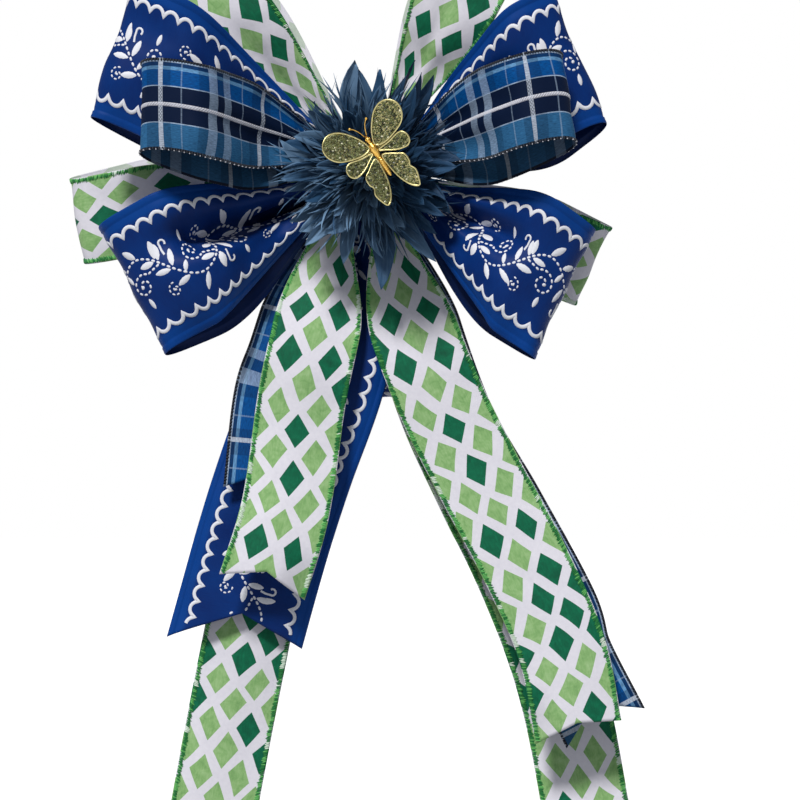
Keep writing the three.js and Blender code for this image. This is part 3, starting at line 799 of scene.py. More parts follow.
def tail_ribbon(name):
    cloth, (root, out, end), notch, corner, path = TAILS[name]
    rng = seeded(name)
    flat_line, length = smooth_line([(x, 0, z) for x, z in path])
    away = np.linspace(0, 1, len(flat_line)) * length
    rise, settling = smoothstep(away, *TAIL_RISE), smoothstep(away, TAIL_RISE[1], length)
    depth = root + (out - root) * rise + (end - out) * settling
    forward = unit(np.gradient(flat_line, axis=0))
    across = np.stack([-forward[:, 2], np.zeros(len(forward)), forward[:, 0]], 1)
    line = flat_line + np.outer(depth, (0, 1, 0))
    spreads = cloth["gather"] + (1 - cloth["gather"]) * smoothstep(away, 0, TAIL_FULL_WIDTH_AT)
    waves = ripple(rng, 4, 90, 190)
    crinkles = ripple(rng, 6, 18, 40)
    phase = rng.uniform(-0.5, 0.5)
    twist = rng.uniform(-1, 1)

    def relief(share, v, d):
        s = share * length
        lift = 0.9 * pleats(cloth, v, s, phase)
        lift = lift + 2.3 * waves(s, 1.6 * v * cloth["width"]) * smoothstep(s, 20, 90)
        lift = lift + 0.35 * crinkles(s, v * cloth["width"]) * smoothstep(s, 5, 30)
        lift = lift - 2.0 * (2 * v) ** 2 * smoothstep(s, 40, 120)
        lift = lift + 2.4 * twist * v * 2 * smoothstep(s, 0.6 * length, length)
        lift = lift - 8 * smoothstep(s, length - 45, length) * smoothstep(v * corner, 0.1, 0.5)
        if cloth is not BLUE:
            return lift + hem_height(cloth, v), np.zeros_like(v)
        rolled = (2 * np.abs(v)) ** 8 * smoothstep(s, 60, 160)
        return lift - 4 * rolled + hem_height(cloth, v), -5 * v * (2 * np.abs(v)) ** 4

    return Ribbon(name, cloth, line, across, length, spreads, notch, relief)


# ---------------------------------------------------------------- what lies on the ribbons


def lay_pads(ribbon, shape, marks, height, slot=0, sides=8, point=1.0):
    """Small raised pads on the face of a ribbon. Each mark is a place along and across it, a heading, a
    length and a width, and point above 1 draws a pad's ends out, as a leaf's are."""
    turn = np.arange(sides) * 2 * math.pi / sides
    rim = np.stack([np.cos(turn), np.sign(np.sin(turn)) * np.abs(np.sin(turn)) ** point], 1) / 2
    outline = np.vstack([rim, rim * 0.62, [(0, 0)]])
    s, w, heading, length, width = (column[:, None] for column in np.reshape(marks, (-1, 5)).T)
    x, y = outline[:, 0] * length, outline[:, 1] * width
    along = s + x * np.cos(heading) - y * np.sin(heading)
    across = w + x * np.sin(heading) + y * np.cos(heading)
    lift = np.concatenate([np.full(sides, -0.12), np.full(sides, height * 0.85), [height]])
    points = ribbon.at(along, across, np.broadcast_to(lift, along.shape))
    each = np.arange(len(along))[:, None, None] * len(outline)
    j = np.arange(sides)
    k = (j + 1) % sides
    skirt = np.stack([sides + j, sides + k, k, j], 1) + each
    top = np.stack([0 * j + 2 * sides, sides + k, sides + j], 1) + each
    shape.add(points.reshape(-1, 3), [skirt.reshape(-1, 4), top.reshape(-1, 3)], slot,
              np.stack([along, across], -1).reshape(-1, 2))


def band(ribbon, shape, line, width, height):
    """A raised line of ink or braid on the face of a ribbon, along a line of its own distances."""
    line = np.asarray(line, float)
    forward = np.gradient(line, axis=0)
    forward /= np.maximum(np.linalg.norm(forward, axis=1), 1e-9)[:, None]
    side = np.stack([-forward[:, 1], forward[:, 0]], 1)
    profile = [(-0.5, -0.12), (-0.32, height), (0.32, height), (0.5, -0.12)]
    rows = np.stack([line + side * across * width for across, _ in profile], 1)
    lift = np.broadcast_to([high for _, high in profile], rows.shape[:2])
    points = ribbon.at(rows[..., 0], rows[..., 1], lift)
    faces = flipped([grid_faces(len(line), len(profile))])
    shape.add(points.reshape(-1, 3), faces, 0, rows.reshape(-1, 2))


SCALLOP = {"pitch": 11.8, "from_hem": 12.6, "depth": 5.8, "width": 2.9}
VINE_HALF = 44.0
VINE_SWING = 15.0
INK = 0.35
# Leaves on each half repeat of the vine: how far along it from its crest, and the side and angle at
# which each leaves the stem, positive away from the middle of the ribbon.
VINE_LEAVES = [(-15, 0.95), (-15, -0.75), (-3, 0.8), (9, 0.95), (19, 0.7), (19, -0.9), (27, -0.85)]
# Leaves on each big spiral: where on its outer turn, and at what angle from straight out.
SPIRAL_LEAVES = [(-0.6, 0.5), (1.3, -0.4)]


def marks_of(*columns):
    """Marks from their places along and across, headings, lengths and widths, or one value for all."""
    return np.column_stack(np.broadcast_arrays(*columns))

def dashes(line, gap=4.2, length=3.4, width=1.9):
    """Marks for a line of short dashes."""
    line = np.asarray(line, float)
    places = travelled(line)
    middle = np.arange(gap / 2, places[-1], gap)
    ahead = along_line(middle + 0.5, places, line) - along_line(middle - 0.5, places, line)
    heading = np.arctan2(ahead[:, 1], ahead[:, 0])
    return marks_of(*along_line(middle, places, line).T, heading, length, width)

def leaf(s, w, heading, length, width):
    """The mark for an almond leaf whose stalk end is at s, w."""
    return s + math.cos(heading) * length / 2, w + math.sin(heading) * length / 2, heading, length, width


def spiral(s, w, radius, start, turns, hand):
    """A line that starts on its outer turn and winds in."""
    t = np.linspace(0, 1, 40)
    away = radius * (1 - 0.8 * t)
    angle = start + hand * 2 * math.pi * turns * t
    return np.stack([s + away * np.cos(angle), w + away * np.sin(angle)], 1)


def within(ribbon, marks, margin):
    """The marks that lie inside the two ends of a ribbon."""
    marks = np.asarray(marks, float)
    return marks[(marks[:, 0] > margin) & (marks[:, 0] < ribbon.reach(marks[:, 1]) - margin)]


def scallops(ribbon, side):
    """The scalloped line inside one hem: round towards the hem and pointed inwards."""
    inset = BLUE_WIDTH / 2 - SCALLOP["from_hem"]
    arc = np.radians(np.linspace(-78, 78, 11)[:-1])
    fall = SCALLOP["depth"] * (1 - np.cos(arc)) / (1 - np.cos(arc[0]))
    share = 0.5 + 0.5 * np.sin(arc) / np.sin(-arc[0])
    count = int(ribbon.length / SCALLOP["pitch"])
    starts = 3 + SCALLOP["pitch"] * np.arange(count)[:, None]
    s = (starts + SCALLOP["pitch"] * share).ravel()
    w = np.tile(side * (inset - fall), count)
    stop = np.searchsorted(s, ribbon.reach(side * (inset - SCALLOP["depth"])) - 2)
    return np.stack([s[:stop], w[:stop]], 1)


def vine(ribbon, rng):
    """Marks for a winding dashed stem with leaves and spirals, and the lines of its solid hooks."""
    start = rng.uniform(-40, 0)

    def stem(s):
        turn = math.pi * (s - start) / VINE_HALF
        return VINE_SWING * np.cos(turn), np.arctan2(-VINE_SWING * math.pi / VINE_HALF * np.sin(turn), 1)

    s = np.arange(start, ribbon.length, 2.0)
    lines, leaves, dots, hooks = [dashes(np.stack([s, stem(s)[0]], 1))], [], [], []
    for k in range(int((ribbon.length - start) / VINE_HALF) + 1):
        sign = 1 if k % 2 == 0 else -1
        crest = start + k * VINE_HALF
        size = rng.uniform(8.0, 9.6)
        centre = (crest + 1, -sign * 4)
        turned = spiral(*centre, size, sign * 2.4, 1.4, -sign)
        lines.append(dashes(np.vstack([[(crest - 17, sign * 4.5)], turned]), 4.0, 3.2, 1.8))
        lines.append(dashes(spiral(crest + 25, sign * 17, 5.4, -sign * 1.9, 1.25, sign), 3.4, 2.6, 1.4))
        dots += [(*turned[-1], 0.5, 3.4, 2.6), (crest + 25, sign * 17, 0, 2.2, 1.9)]
        for along, angle in VINE_LEAVES:
            across, heading = stem(crest + along)
            heading += sign * (angle + rng.uniform(-0.15, 0.15))
            step = np.array([math.cos(heading), math.sin(heading)]) * 1.2
            leaves.append(leaf(crest + along + step[0], across + step[1], heading, rng.uniform(12.0, 15.0),
                               rng.uniform(4.6, 5.6)))
        for around, angle in SPIRAL_LEAVES:
            out = np.array([math.cos(around), -sign * math.sin(around)])
            heading = math.atan2(out[1], out[0]) + sign * angle
            leaves.append(leaf(centre[0] + out[0] * size, centre[1] + out[1] * size, heading, 9.5, 3.9))
        bend = np.linspace(-0.4, 3.9, 9)
        hook = np.stack([2.4 * np.cos(bend), 2.4 * np.sin(bend)], 1)
        hook = np.vstack([[(1.2, -8.5), (2.2, -4.5)], hook]) * (1, sign)
        hooks.append(hook + (crest - 24, sign * 17))
    return np.vstack(lines), leaves, dots, hooks


def blue_print(ribbon, looks):
    """White scallops inside each hem, and a vine between them."""
    shape = Shape()
    for side in (-1, 1):
        band(ribbon, shape, scallops(ribbon, side), SCALLOP["width"], INK)
    lines, leaves, dots, hooks = vine(ribbon, seeded(ribbon.name))
    lay_pads(ribbon, shape, within(ribbon, lines, 3), INK, sides=8, point=0.6)
    lay_pads(ribbon, shape, within(ribbon, dots, 6), INK * 1.2)
    lay_pads(ribbon, shape, within(ribbon, leaves, 8), INK * 1.3, sides=12, point=1.45)
    for hook in hooks:
        if hook[:, 0].min() > 4 and hook[:, 0].max() < ribbon.reach(hook[0, 1]) - 4:
            band(ribbon, shape, hook, 1.7, INK)
    return place(shape, ribbon.name + "_print", looks, ribbon.name)


def green_edging(ribbon, looks):
    """Overlocked edges: stitches wrapped over both hems, dark and light green with runs of white."""
    rng = np.random.default_rng(len(ribbon.name) + 7)
    shape = Shape()
    stitch = 1.1
    for side in (-1, 1):
        s = np.arange(1.2, ribbon.length - 1.5, stitch)
        length = rng.uniform(3.6, 5.2, len(s))
        lean = math.pi / 2 + side * rng.uniform(0.1, 0.5, len(s))
        marks = marks_of(s, side * (NARROW_WIDTH / 2 - length / 2 + 0.2), lean, length, 1.15)
        runs = np.cumsum(rng.random(len(s)) < 0.2)
        thread = rng.choice(3, runs[-1] + 1, p=(0.58, 0.12, 0.3))[runs]
        thread = np.where((rng.random(len(s)) < 0.3) & (thread != 1), 2 - thread, thread)
        for slot in range(3):
            lay_pads(ribbon, shape, marks[thread == slot], 0.8, slot, sides=6)
    return place(shape, ribbon.name + "_edging", looks, ribbon.name)


def plaid_edging(ribbon, looks):
    """Picot edges, black with white dots below, and the chunky white cord woven down the middle."""
    shape = Shape()
    dotted = -1 if ribbon.print_side > 0 else 1
    s = np.arange(1.5, ribbon.length - 1.5, 2.3)
    for side in (-1, 1):
        picots = marks_of(s, side * (NARROW_WIDTH / 2 - 1.0), math.pi / 2, 2.5, 1.9)
        lay_pads(ribbon, shape, picots, 0.9, 0, sides=6)
        if side == dotted:
            dots = marks_of(s[::2], side * (NARROW_WIDTH / 2 - 0.4), math.pi / 2, 1.25, 1.178)
            lay_pads(ribbon, shape, dots, 1.25, 1, sides=6)
    s = np.arange(2, ribbon.reach(0) - 2, 2.1)
    for offset, across in ((0, 0.5), (1.05, -0.5)):
        lay_pads(ribbon, shape, marks_of(s + offset, across, 0.55, 2.7, 1.25), 0.5, 1, sides=6)
    return place(shape, ribbon.name + "_edging", looks, ribbon.name)


def make_ribbons():
    blue_face = satin_look("blue_satin", linear(6, 64, 142), linear(10, 28, 86))
    # The unprinted back of the blue is much darker than its face: painted shade for the insides of the loops.
    blue_back_painted_shade = satin_look("blue_satin_back", linear(0, 28, 78), linear(0, 16, 52))
    blue_edge = satin_look("blue_satin_edge", linear(0, 44, 112), linear(0, 28, 84))
    ink = print_look()
    green_face, green_back = harlequin_look("harlequin", 1.0), harlequin_look("harlequin_back", 0.45)
    green_thread = thread_look("overlock_green", linear(4, 92, 42), linear(40, 146, 70))
    light_thread = thread_look("overlock_light", linear(64, 160, 72), linear(124, 206, 118))
    white_thread = thread_look("overlock_white", linear(196, 222, 196), linear(238, 248, 238))
    # The plaid's inside is the same weave, darkened by painted shade.
    plaid_face, plaid_back_painted_shade = plaid_look("plaid", 0.0), plaid_look("plaid_inside", 0.5)
    black_thread = thread_look("picot_black", linear(8, 12, 22), linear(28, 36, 52))
    cord_white = thread_look("plaid_cord", linear(204, 206, 220), linear(244, 244, 250))
    dressed = {
        "blue_satin": ([blue_face, blue_back_painted_shade, blue_edge], blue_print, [ink]),
        "harlequin_ribbon": ([green_face, green_back, green_thread], green_edging,
                             [green_thread, white_thread, light_thread]),
        "plaid_ribbon": ([plaid_face, plaid_back_painted_shade, black_thread], plaid_edging, [black_thread, cord_white]),
    }
    made = {}
    for name in list(LOOPS) + list(TAILS):
        ribbon = loop_ribbon(name) if name in LOOPS else tail_ribbon(name)
        looks, trim, trim_looks = dressed[ribbon.cloth["slot"]]
        made[name] = (ribbon, ribbon.cloth_mesh(looks), trim(ribbon, trim_looks))
    return made

# ---------------------------------------------------------------- the knot and its tie

KNOT_RADIUS = 14.3
NOTCH_RADIUS = 10.4
GATHERS = {
    "green_loop_gather": (-5.5, -19, "harlequin_ribbon"),
    "tail_gather": (-19.3, -39.7, "harlequin_ribbon"),
    "blue_loop_gather": (-40, -52, "blue_satin"),
    "plaid_loop_gather": (-52.3, -62.3, "plaid_ribbon"),
}
TIE_RADIUS = 12.3
TIE_FRONT = -66
TIE_BACK = -2.2
TIE_END = 4.4


def make_gather(name, look):
    """The waist of a layer of ribbons: cloth pleated round the tie, its folds running along Y."""
    back, front, slot = GATHERS[name]
    rng = seeded(name)
    steps, rows = 240, 9
    angle = np.arange(steps) * 2 * math.pi / steps
    folds = np.zeros(steps)
    for count in (13, 17, 22):
        folds += np.abs(np.sin(count / 2 * angle + rng.uniform(0, 6)))
    from_tie = np.abs(np.arcsin(np.clip(np.abs(np.sin(angle)), 0, 1)) - math.pi / 2)
    bite = 1 - smoothstep(from_tie, 0.12, 0.24)
    shape = Shape()
    rings = []
    for share in np.linspace(0, 1, rows):
        swell = 0.35 * math.sin(math.pi * share)
        radius = KNOT_RADIUS - 0.55 * (3 - folds) + swell
        radius = radius * (1 - bite) + NOTCH_RADIUS * bite
        rings.append((radius, back + (front - back) * share))
    inner = [(rings[0][0] * share, rings[0][1] - 0.5 * (1 - share)) for share in (0.05, 0.35, 0.7)]
    outer = [(rings[-1][0] * share, rings[-1][1] + 0.5 * (1 - share)) for share in (0.7, 0.35, 0.05)]
    loops = inner + rings + outer
    points, flat = [], []
    for radius, y in loops:
        points.append(np.stack([radius * np.cos(angle), np.full(steps, y), radius * np.sin(angle)], 1))
        flat.append(np.stack([angle * KNOT_RADIUS * 1.6, np.full(steps, y)], 1))
    points = np.concatenate(points)
    i = np.arange(len(loops) - 1)[:, None] * steps
    j = np.arange(steps)[None, :]
    k = (j + 1) % steps
    walls = np.stack([i + j, i + steps + j, i + steps + k, i + k], -1).reshape(-1, 4)
    caps = [np.arange(steps)[None, :], np.arange(len(points) - 1, len(points) - 1 - steps, -1)[None, :]]
    shape.add(points, [walls] + caps, 0, np.concatenate(flat))
    place(shape, name + "_cloth", [look], "root", name)


def chenille(shape, line, radius, rng, per_mm=14):
    """Fuzzy pipe cleaner: its two twisted wires drawn as one thin tube, with bristles standing out round it.
    """
    line = np.asarray(line, float)
    places = travelled(line)
    shape.add(*tube(line, 0.32 * radius), 1)
    count = int(places[-1] * per_mm)
    roots = rng.uniform(0, places[-1], count)
    centre = along_line(roots, places, line)
    forward = along_line(roots, places, unit(np.gradient(line, axis=0)))
    out = rng.normal(size=(count, 3))
    out = unit(out - forward * (out * forward).sum(1)[:, None])
    side = np.cross(forward, out)
    tip = centre + out * radius * rng.uniform(0.75, 1.04, (count, 1))
    tip = tip + forward * rng.uniform(-0.3, 0.3, (count, 1))
    base = centre + 0.2 * radius * out
    thick = 0.07
    corners = [base + side * thick, base - side * thick * 0.5 + forward * thick,
               base - side * thick * 0.5 - forward * thick, tip]
    each = np.arange(count)[:, None, None] * 4
    sides = np.array([(0, 1, 3), (1, 2, 3), (2, 0, 3), (2, 1, 0)]) + each
    tint = np.repeat(rng.random(count), 4)
    shape.add(np.stack(corners, 1).reshape(-1, 3), [sides.reshape(-1, 3)], 0, tint=tint)


def make_tie(fuzz, wire):
    rng = np.random.default_rng(41)
    middle = (TIE_FRONT + TIE_BACK) / 2
    tie = Shape()
    path = [
        (0, TIE_BACK, -TIE_END), (0, TIE_BACK, 1.5 - TIE_RADIUS), (0, TIE_BACK - 3, -TIE_RADIUS),
        (0, middle, -TIE_RADIUS), (0, TIE_FRONT + 3, -TIE_RADIUS), (0, TIE_FRONT, 1.5 - TIE_RADIUS),
        (0, TIE_FRONT, 0), (0, TIE_FRONT, TIE_RADIUS - 1.5), (0, TIE_FRONT + 3, TIE_RADIUS),
        (0, middle, TIE_RADIUS), (0, TIE_BACK - 3, TIE_RADIUS), (0, TIE_BACK, TIE_RADIUS - 1.5),
        (0, TIE_BACK, TIE_END),
    ]
    chenille(tie, smooth_line(path, 160)[0], 1.5, rng)
    place(tie, "tie_chenille", [fuzz, wire], "root", "centre_tie")

    twist = Shape()
    y = np.linspace(-5.0, -0.25, 24)
    for phase in (0, math.pi):
        turn = phase + y * 1.25
        chenille(twist, np.stack([1.15 * np.cos(turn), y, 1.15 * np.sin(turn)], 1), 1.35, rng, 26)
    place(twist, "twist_chenille", [fuzz, wire], "root", "tie_twist")

    loop = Shape()
    path = [(-3.6, TIE_BACK, 5), (-6.5, TIE_BACK, 14), (-7, TIE_BACK, 24), (0, TIE_BACK, 31),
            (7, TIE_BACK, 24), (6.5, TIE_BACK, 14), (3.6, TIE_BACK, 5)]
    chenille(loop, smooth_line(path, 90)[0], 1.2, rng)
    place(loop, "hanging_chenille", [fuzz, wire], "root", "hanging_loop")


# ---------------------------------------------------------------- the flower

CORE_RADIUS = 9.5
FLOWER_LOW = 5
PETAL_START = CORE_RADIUS - 1.5
VEINS_APART = 700
# Name: broad petals, their width, clusters of fringe, reach, depth of the base and rise of the tips.
WHORLS = {
    "petal_whorl_1": (16, 15.5, 16, 79, -75.5, 24),
    "petal_whorl_2": (16, 15.5, 17, 74, -79, 30),
    "petal_whorl_3": (15, 14.0, 18, 63, -84, 35),
    "petal_whorl_4": (13, 12.0, 18, 50, -90, 39),
    "petal_whorl_5": (12, 9.0, 16, 38, -96, 40),
    "petal_whorl_6": (9, 7.5, 12, 26, -103, 34),
}
STRANDS = 6


def blade(shape, rng, azimuth, reach, base, lift, width, fringe=False, sag=0.0):
    """One petal as a thin closed leaf: pointed, cupped, furrowed down its middle and turned on its own."""
    rows, columns = (9, 5) if fringe else (13, 9)
    u = np.linspace(0, 1, rows)
    v = np.linspace(-1, 1, columns)
    bend = rng.normal(0, 0.17)
    roll = rng.normal(0, 0.5)
    twist = rng.normal(0, 0.7)
    out = PETAL_START + (reach - PETAL_START) * u
    heading = azimuth + bend * u**2
    y = base - lift * (out / reach) ** 1.3 + sag * u**2
    line = np.stack([out * np.cos(heading), y, out * np.sin(heading) - FLOWER_LOW], 1)
    side = np.stack([-np.sin(heading), np.zeros(rows), np.cos(heading)], 1)
    up = unit(np.cross(side, unit(np.gradient(line, axis=0))))
    up *= np.where(up[:, 1] > 0, -1, 1)[:, None]
    turn = roll * u + twist * u**2
    across = side * np.cos(turn)[:, None] + up * np.sin(turn)[:, None]
    above = up * np.cos(turn)[:, None] - side * np.sin(turn)[:, None]
    peak = rng.uniform(0.5, 0.66)
    beyond = np.maximum(u - peak, 0) / (1 - peak)
    outline = np.where(u < peak, (u / peak) ** 0.9, np.maximum(1 - beyond**1.7, 0))
    half = width / 2 * (0.16 + 0.84 * outline) * np.where(u > 0.985, 0.12, 1)
    cup = rng.uniform(0.1, 0.5)
    frill = rng.uniform(0.3, 0.9) * width / 12
    phase = rng.uniform(0, 6)
    rise = half[:, None] * (cup * v[None, :] ** 2 - 0.22 * np.exp(-((v[None, :] / 0.22) ** 2)))
    rise = rise + frill * np.sin(9 * u[:, None] + phase + 1.5 * v[None, :]) * np.abs(v[None, :]) ** 1.5
    wide = half[:, None] * v[None, :]
    face = line[:, None] + across[:, None] * wide[..., None] + above[:, None] * rise[..., None]
    thick = 0.3 * (1 - np.abs(v) ** 3)[None, :] * np.minimum(1, 8 * (1 - u))[:, None] + 0.02
    back = face - above[:, None] * thick[..., None]
    flat = np.stack(np.broadcast_arrays(out[:, None] + azimuth * VEINS_APART, wide), -1).reshape(-1, 2)
    # Painted shade: the depth attribute darkens each petal towards its base, and its back more.
    depth = np.repeat(smoothstep(out, 0.18 * reach + 4, 0.85 * reach), columns)
    # Painted shade on the petals right of the middle and painted light on the lower ones, added to each
    # petal's random tint.
    shaded = 0.8 * smoothstep(math.cos(azimuth), 0.0, 0.7)
    own = rng.uniform(0.1, 1) * (1 - shaded) + 0.35 * max(-math.sin(azimuth), 0)
    points = np.vstack([face.reshape(-1, 3), back.reshape(-1, 3)])
    shape.add(points, shell_faces(rows, columns), 0, np.vstack([flat, flat]), own,
              np.concatenate([depth, depth * 0.6]))


def make_flower(look):
    for index, (name, (broad, width, clusters, reach, base, lift)) in enumerate(WHORLS.items()):
        rng = np.random.default_rng(300 + index)
        shape = Shape()
        offset = rng.uniform(0, 6)
        for n in range(broad):
            azimuth = offset + 2 * math.pi * (n + rng.uniform(-0.4, 0.4)) / broad
            hanging = max(0.0, -math.sin(azimuth)) ** 2
            long = reach * rng.uniform(0.66, 1.05) * (1 + (0.09 if index < 2 else 0) * hanging)
            blade(shape, rng, azimuth, long, base + rng.uniform(0, 2), lift * rng.uniform(0.7, 1.05),
                  width * rng.uniform(0.75, 1.15), sag=4 * hanging)
        for n in range(clusters):
            azimuth = offset + 2 * math.pi * (n + rng.uniform(-0.3, 0.3)) / clusters + 0.2
            long = reach * rng.uniform(0.82, 1.04)
            rise = lift * rng.uniform(0.8, 1.02)
            for strand in range(STRANDS):
                aside = (strand - (STRANDS - 1) / 2) * rng.uniform(0.02, 0.075)
                out, up = long * rng.uniform(0.72, 1.0), rise * rng.uniform(0.9, 1.04)
                blade(shape, rng, azimuth + aside, out, base - 0.6, up, rng.uniform(1.0, 2.3), fringe=True)
        place(shape, name + "_petals", [look], "flower", name)


# ---------------------------------------------------------------- the butterfly

BROOCH = np.array([4.5, -147.5, 2.5])
BROOCH_TURN = math.radians(33)
WING_TILT = math.radians(14)
WINGS = {
    "fore": [(3, 3.7), (4.9, 10.9), (9.7, 18.2), (15.5, 23.8), (22.5, 26), (28.7, 23.4), (31.7, 18.2),
             (30.7, 11.8), (25.9, 6.4), (17.2, 3), (8.7, 1.6)],
    "side": [(3.2, -0.6), (12, 0.2), (21, 1.8), (25, -1), (25.2, -6), (21.5, -9), (14.5, -7.6), (7.5, -3.8)],
    "hind": [(2.9, -5.2), (7.4, -6.6), (12, -9.6), (16.3, -12.6), (16.9, -18), (15.4, -21.3), (17.3, -26.1),
             (15.7, -32.4), (13.3, -36.3), (8.7, -32.6), (4.8, -24), (3, -14.1)],
}
FEELER = [(0.9, -0.5, 12.2), (2.2, -1.5, 16), (4.5, -2.5, 20), (7.5, -3, 22.5)]
# The body's radius at each height.
BODY = [(-20, 0.15), (-18.5, 1.3), (-13, 2.0), (-8, 2.2), (-5, 1.5), (-1, 2.8), (3, 3.0), (6.5, 1.4),
        (8.5, 2.2), (10.6, 1.9), (12, 0.15)]
OUTLINE_STEPS = 96
CHIP_TRIES = 2600
CHIPS_APART = 0.95


def turned(a, b, angle):
    """Two coordinates turned by an angle."""
    return a * np.cos(angle) - b * np.sin(angle), a * np.sin(angle) + b * np.cos(angle)

def on_brooch(points):
    """Points of the butterfly, its head up, as they sit on the turned brooch."""
    x, y, z = np.asarray(points, float).T
    x, z = turned(x, z, BROOCH_TURN)
    return np.stack([x, y, z], 1) + BROOCH

def on_wing(points, mirror):
    """Points of a wing in its own plane, tilted forward from the body."""
    x, y, z = np.asarray(points, float).T
    x, y = turned(x, y, -mirror * WING_TILT)
    return on_brooch(np.stack([x, y, z], 1))

def inside_outline(outline, x, z):
    """Whether points lie inside a closed outline."""
    inside = np.zeros(len(x), bool)
    for (x1, z1), (x2, z2) in zip(outline, np.roll(outline, -1, 0)):
        crosses = (z1 > z) != (z2 > z)
        at = (x2 - x1) * (z - z1) / (z2 - z1 + 1e-12) + x1
        inside ^= crosses & (x < at)
    return inside


def closed_line(corners):
    points = np.array([(x, 0, z) for x, z in corners], float)
    wrapped = np.vstack([points[-3:], points, points[:4]])
    line, _ = smooth_line(wrapped, 900)
    start = np.argmin(np.linalg.norm(line[:450] - points[0], axis=1))
    end = 450 + np.argmin(np.linalg.norm(line[450:] - points[0], axis=1))
    kept = line[start:end]
    return kept[np.linspace(0, len(kept), OUTLINE_STEPS, endpoint=False).astype(int)]


def chip_places(rng, outline):
    """Random places inside an outline, none of them too near to another."""
    spots = rng.uniform(outline.min(0), outline.max(0), (CHIP_TRIES, 2))
    spots = spots[inside_outline(outline, *spots.T)]
    kept = np.full((len(spots), 2), np.inf)
    count = 0
    for spot in spots:
        if count == 0 or np.min(np.sum((kept[:count] - spot) ** 2, 1)) > CHIPS_APART**2:
            kept[count] = spot
            count += 1
    return kept[:count]


def lay_chips(shape, rng, places, mirror):
    """Chips of glass at places on a wing: squashed irregular octahedra."""
    count = len(places)
    spots = np.array([(1, 0, 0), (-1, 0, 0), (0, 0, 1), (0, 0, -1), (0, -0.75, 0), (0, 0.5, 0)], float)
    size = rng.uniform(0.7, 1.05, (count, 1, 1))
    spots = size * (spots * rng.uniform(0.6, 1.25, (count, 6, 1)) + rng.normal(0, 0.12, (count, 6, 3)))
    spin = rng.uniform(0, 6, (count, 1))
    x, z = turned(spots[..., 0], spots[..., 2], spin)
    y = spots[..., 1] - 1.15 + rng.uniform(-0.25, 0.1, (count, 1))
    faces = np.array([(0, 2, 4), (2, 1, 4), (1, 3, 4), (3, 0, 4), (2, 0, 5), (1, 2, 5), (3, 1, 5), (0, 3, 5)])
    faces = faces + 6 * np.arange(count)[:, None, None]
    tint = rng.choice([0.05, 0.35, 0.6, 0.85, 0.99], count, p=[0.26, 0.34, 0.26, 0.11, 0.03])
    tint = tint + rng.uniform(-0.05, 0.05, count)
    points = np.stack([x + places[:, :1], y, z + places[:, 1:]], -1)
    points = on_wing(points.reshape(-1, 3), mirror)
    shape.add(points, [faces.reshape(-1, 3)], 0, tint=np.repeat(tint, 6))


def make_wing(wing, side, mirror, rng, gold, glass):
    """The rim of a wing, and the chips of glass inside it."""
    outline = closed_line([(mirror * x, z) for x, z in WINGS[wing]])
    rim = Shape()
    points, faces = tube(outline + (0, -1.35, 0), 0.62, closed=True)
    rim.add(on_wing(points, mirror), faces)
    place(rim, f"{wing}wing_rim_{side}", [gold], "brooch")
    chips = Shape()
    flat = outline[:, [0, 2]]
    middle = flat.mean(0)
    lay_chips(chips, rng, chip_places(rng, middle + (flat - middle) * 0.93), mirror)
    filled = f"{wing}wing_glitter_{side}"
    place(chips, f"{wing}wing_chips_{side}", [glass], "brooch", filled, smooth=False)

def make_feeler(side, mirror, bright):
    feeler = Shape()
    line, _ = smooth_line([(mirror * x, y, z) for x, y, z in FEELER], 40)
    thick = 0.34 + 0.75 * np.exp(-(((np.arange(40) - 36.5) / 2.4) ** 2))
    feeler.add(*tube(on_brooch(line), thick, 10))
    place(feeler, f"antenna_wire_{side}", [bright], "brooch", f"antenna_{side}")

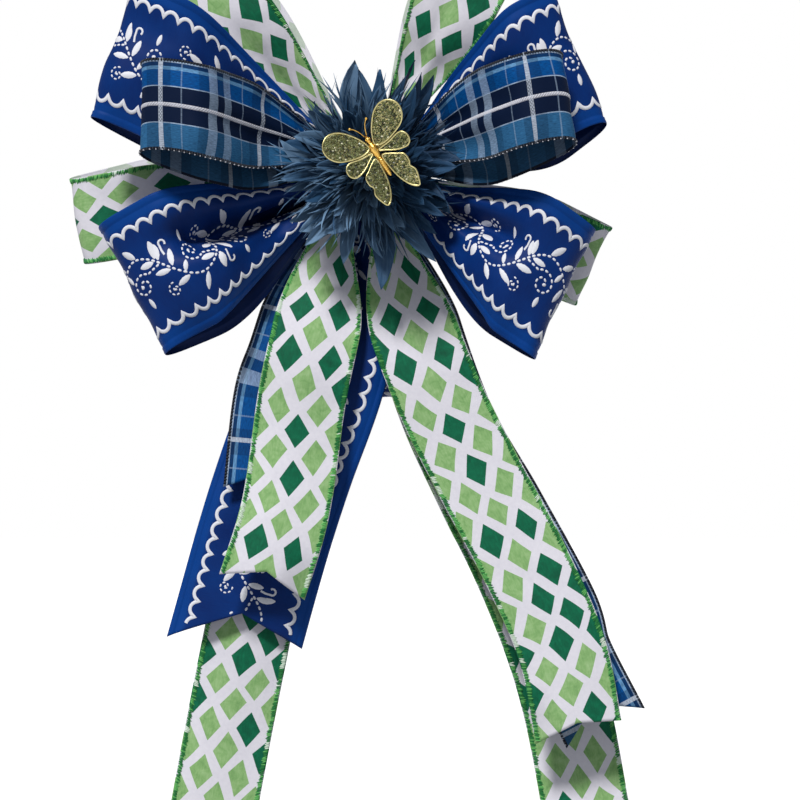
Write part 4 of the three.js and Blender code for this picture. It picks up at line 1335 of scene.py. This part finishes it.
def make_body(bright):
    """The butterfly's ribbed body and its eyes."""
    body = Shape()
    z = np.linspace(-20, 12, 130)
    radius = np.interp(z, *zip(*BODY))
    radius = np.convolve(np.pad(radius, 4, mode="edge"), np.ones(9) / 9, "valid")
    abdomen = 0.16 * np.abs(np.sin(z * math.pi / 1.7)) * (z < -5)
    thorax = 0.1 * np.abs(np.sin(z * math.pi / 1.3)) * (z > -5) * (z < 6)
    body.add(*tube(on_brooch(np.stack([z * 0, z * 0, z], 1)), radius + (abdomen + thorax), 20))
    eye_radius = 0.55 * np.sqrt(1 - np.linspace(-0.98, 0.98, 9) ** 2)
    for mirror in (-1, 1):
        eye = [(mirror * 1.35, -1.0, 9.0), (mirror * 1.5, -1.15, 9.6), (mirror * 1.35, -1.0, 10.2)]
        body.add(*tube(on_brooch(smooth_line(eye, 9)[0]), eye_radius, 10))
    place(body, "butterfly_body_ribbed", [bright], "brooch", "butterfly_body")

def make_butterfly(gold, bright, glass):
    rng = np.random.default_rng(77)
    for side, mirror in (("left", -1), ("right", 1)):
        for wing in WINGS:
            make_wing(wing, side, mirror, rng, gold, glass)
        make_feeler(side, mirror, bright)
    make_body(bright)

def make_fittings():
    """The knot, its tie, the flower and the brooch, and a finish for each CAD piece that stays."""
    gold = gold_look("gold_rim", linear(186, 172, 108), linear(224, 216, 164))
    bright = gold_look("gold_body", linear(204, 146, 44), linear(250, 212, 122))
    fuzz = thread_look("chenille_green", linear(18, 44, 24), linear(52, 92, 54))
    wire = thread_look("tie_wire", linear(60, 66, 60), linear(120, 128, 118))
    plastic = thread_look("core_plastic", linear(24, 52, 34), linear(46, 84, 58))
    # The plaid gather is dressed in the plaid inside, with its painted shade.
    for name, (_, _, slot) in GATHERS.items():
        make_gather(name, bpy.data.materials[{"harlequin_ribbon": "harlequin", "blue_satin": "blue_satin",
                                              "plaid_ribbon": "plaid_inside"}[slot]])
    make_tie(fuzz, wire)
    make_flower(petal_look())
    make_butterfly(gold, bright, granule_look())
    finishes = {"flower_core": plastic, "flower_backing": plastic, "flower_staple": wire}
    for name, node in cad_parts.items():
        if not node.hide_render:
            node.data.materials.clear()
            node.data.materials.append(finishes.get(name, gold))


# ---------------------------------------------------------------- run

make_camera()
make_light()
make_floor()
ribbons = make_ribbons()
make_fittings()
for name, (ribbon, cloth, extra) in ribbons.items():
    flat = (ribbon.width * MM, ribbon.length * MM)
    cut = ribbon.width * (ribbon.length - (ribbon.notch + ribbon.slant) / 2) * MM * MM
    held = "gathered" if name in LOOPS else "hung"
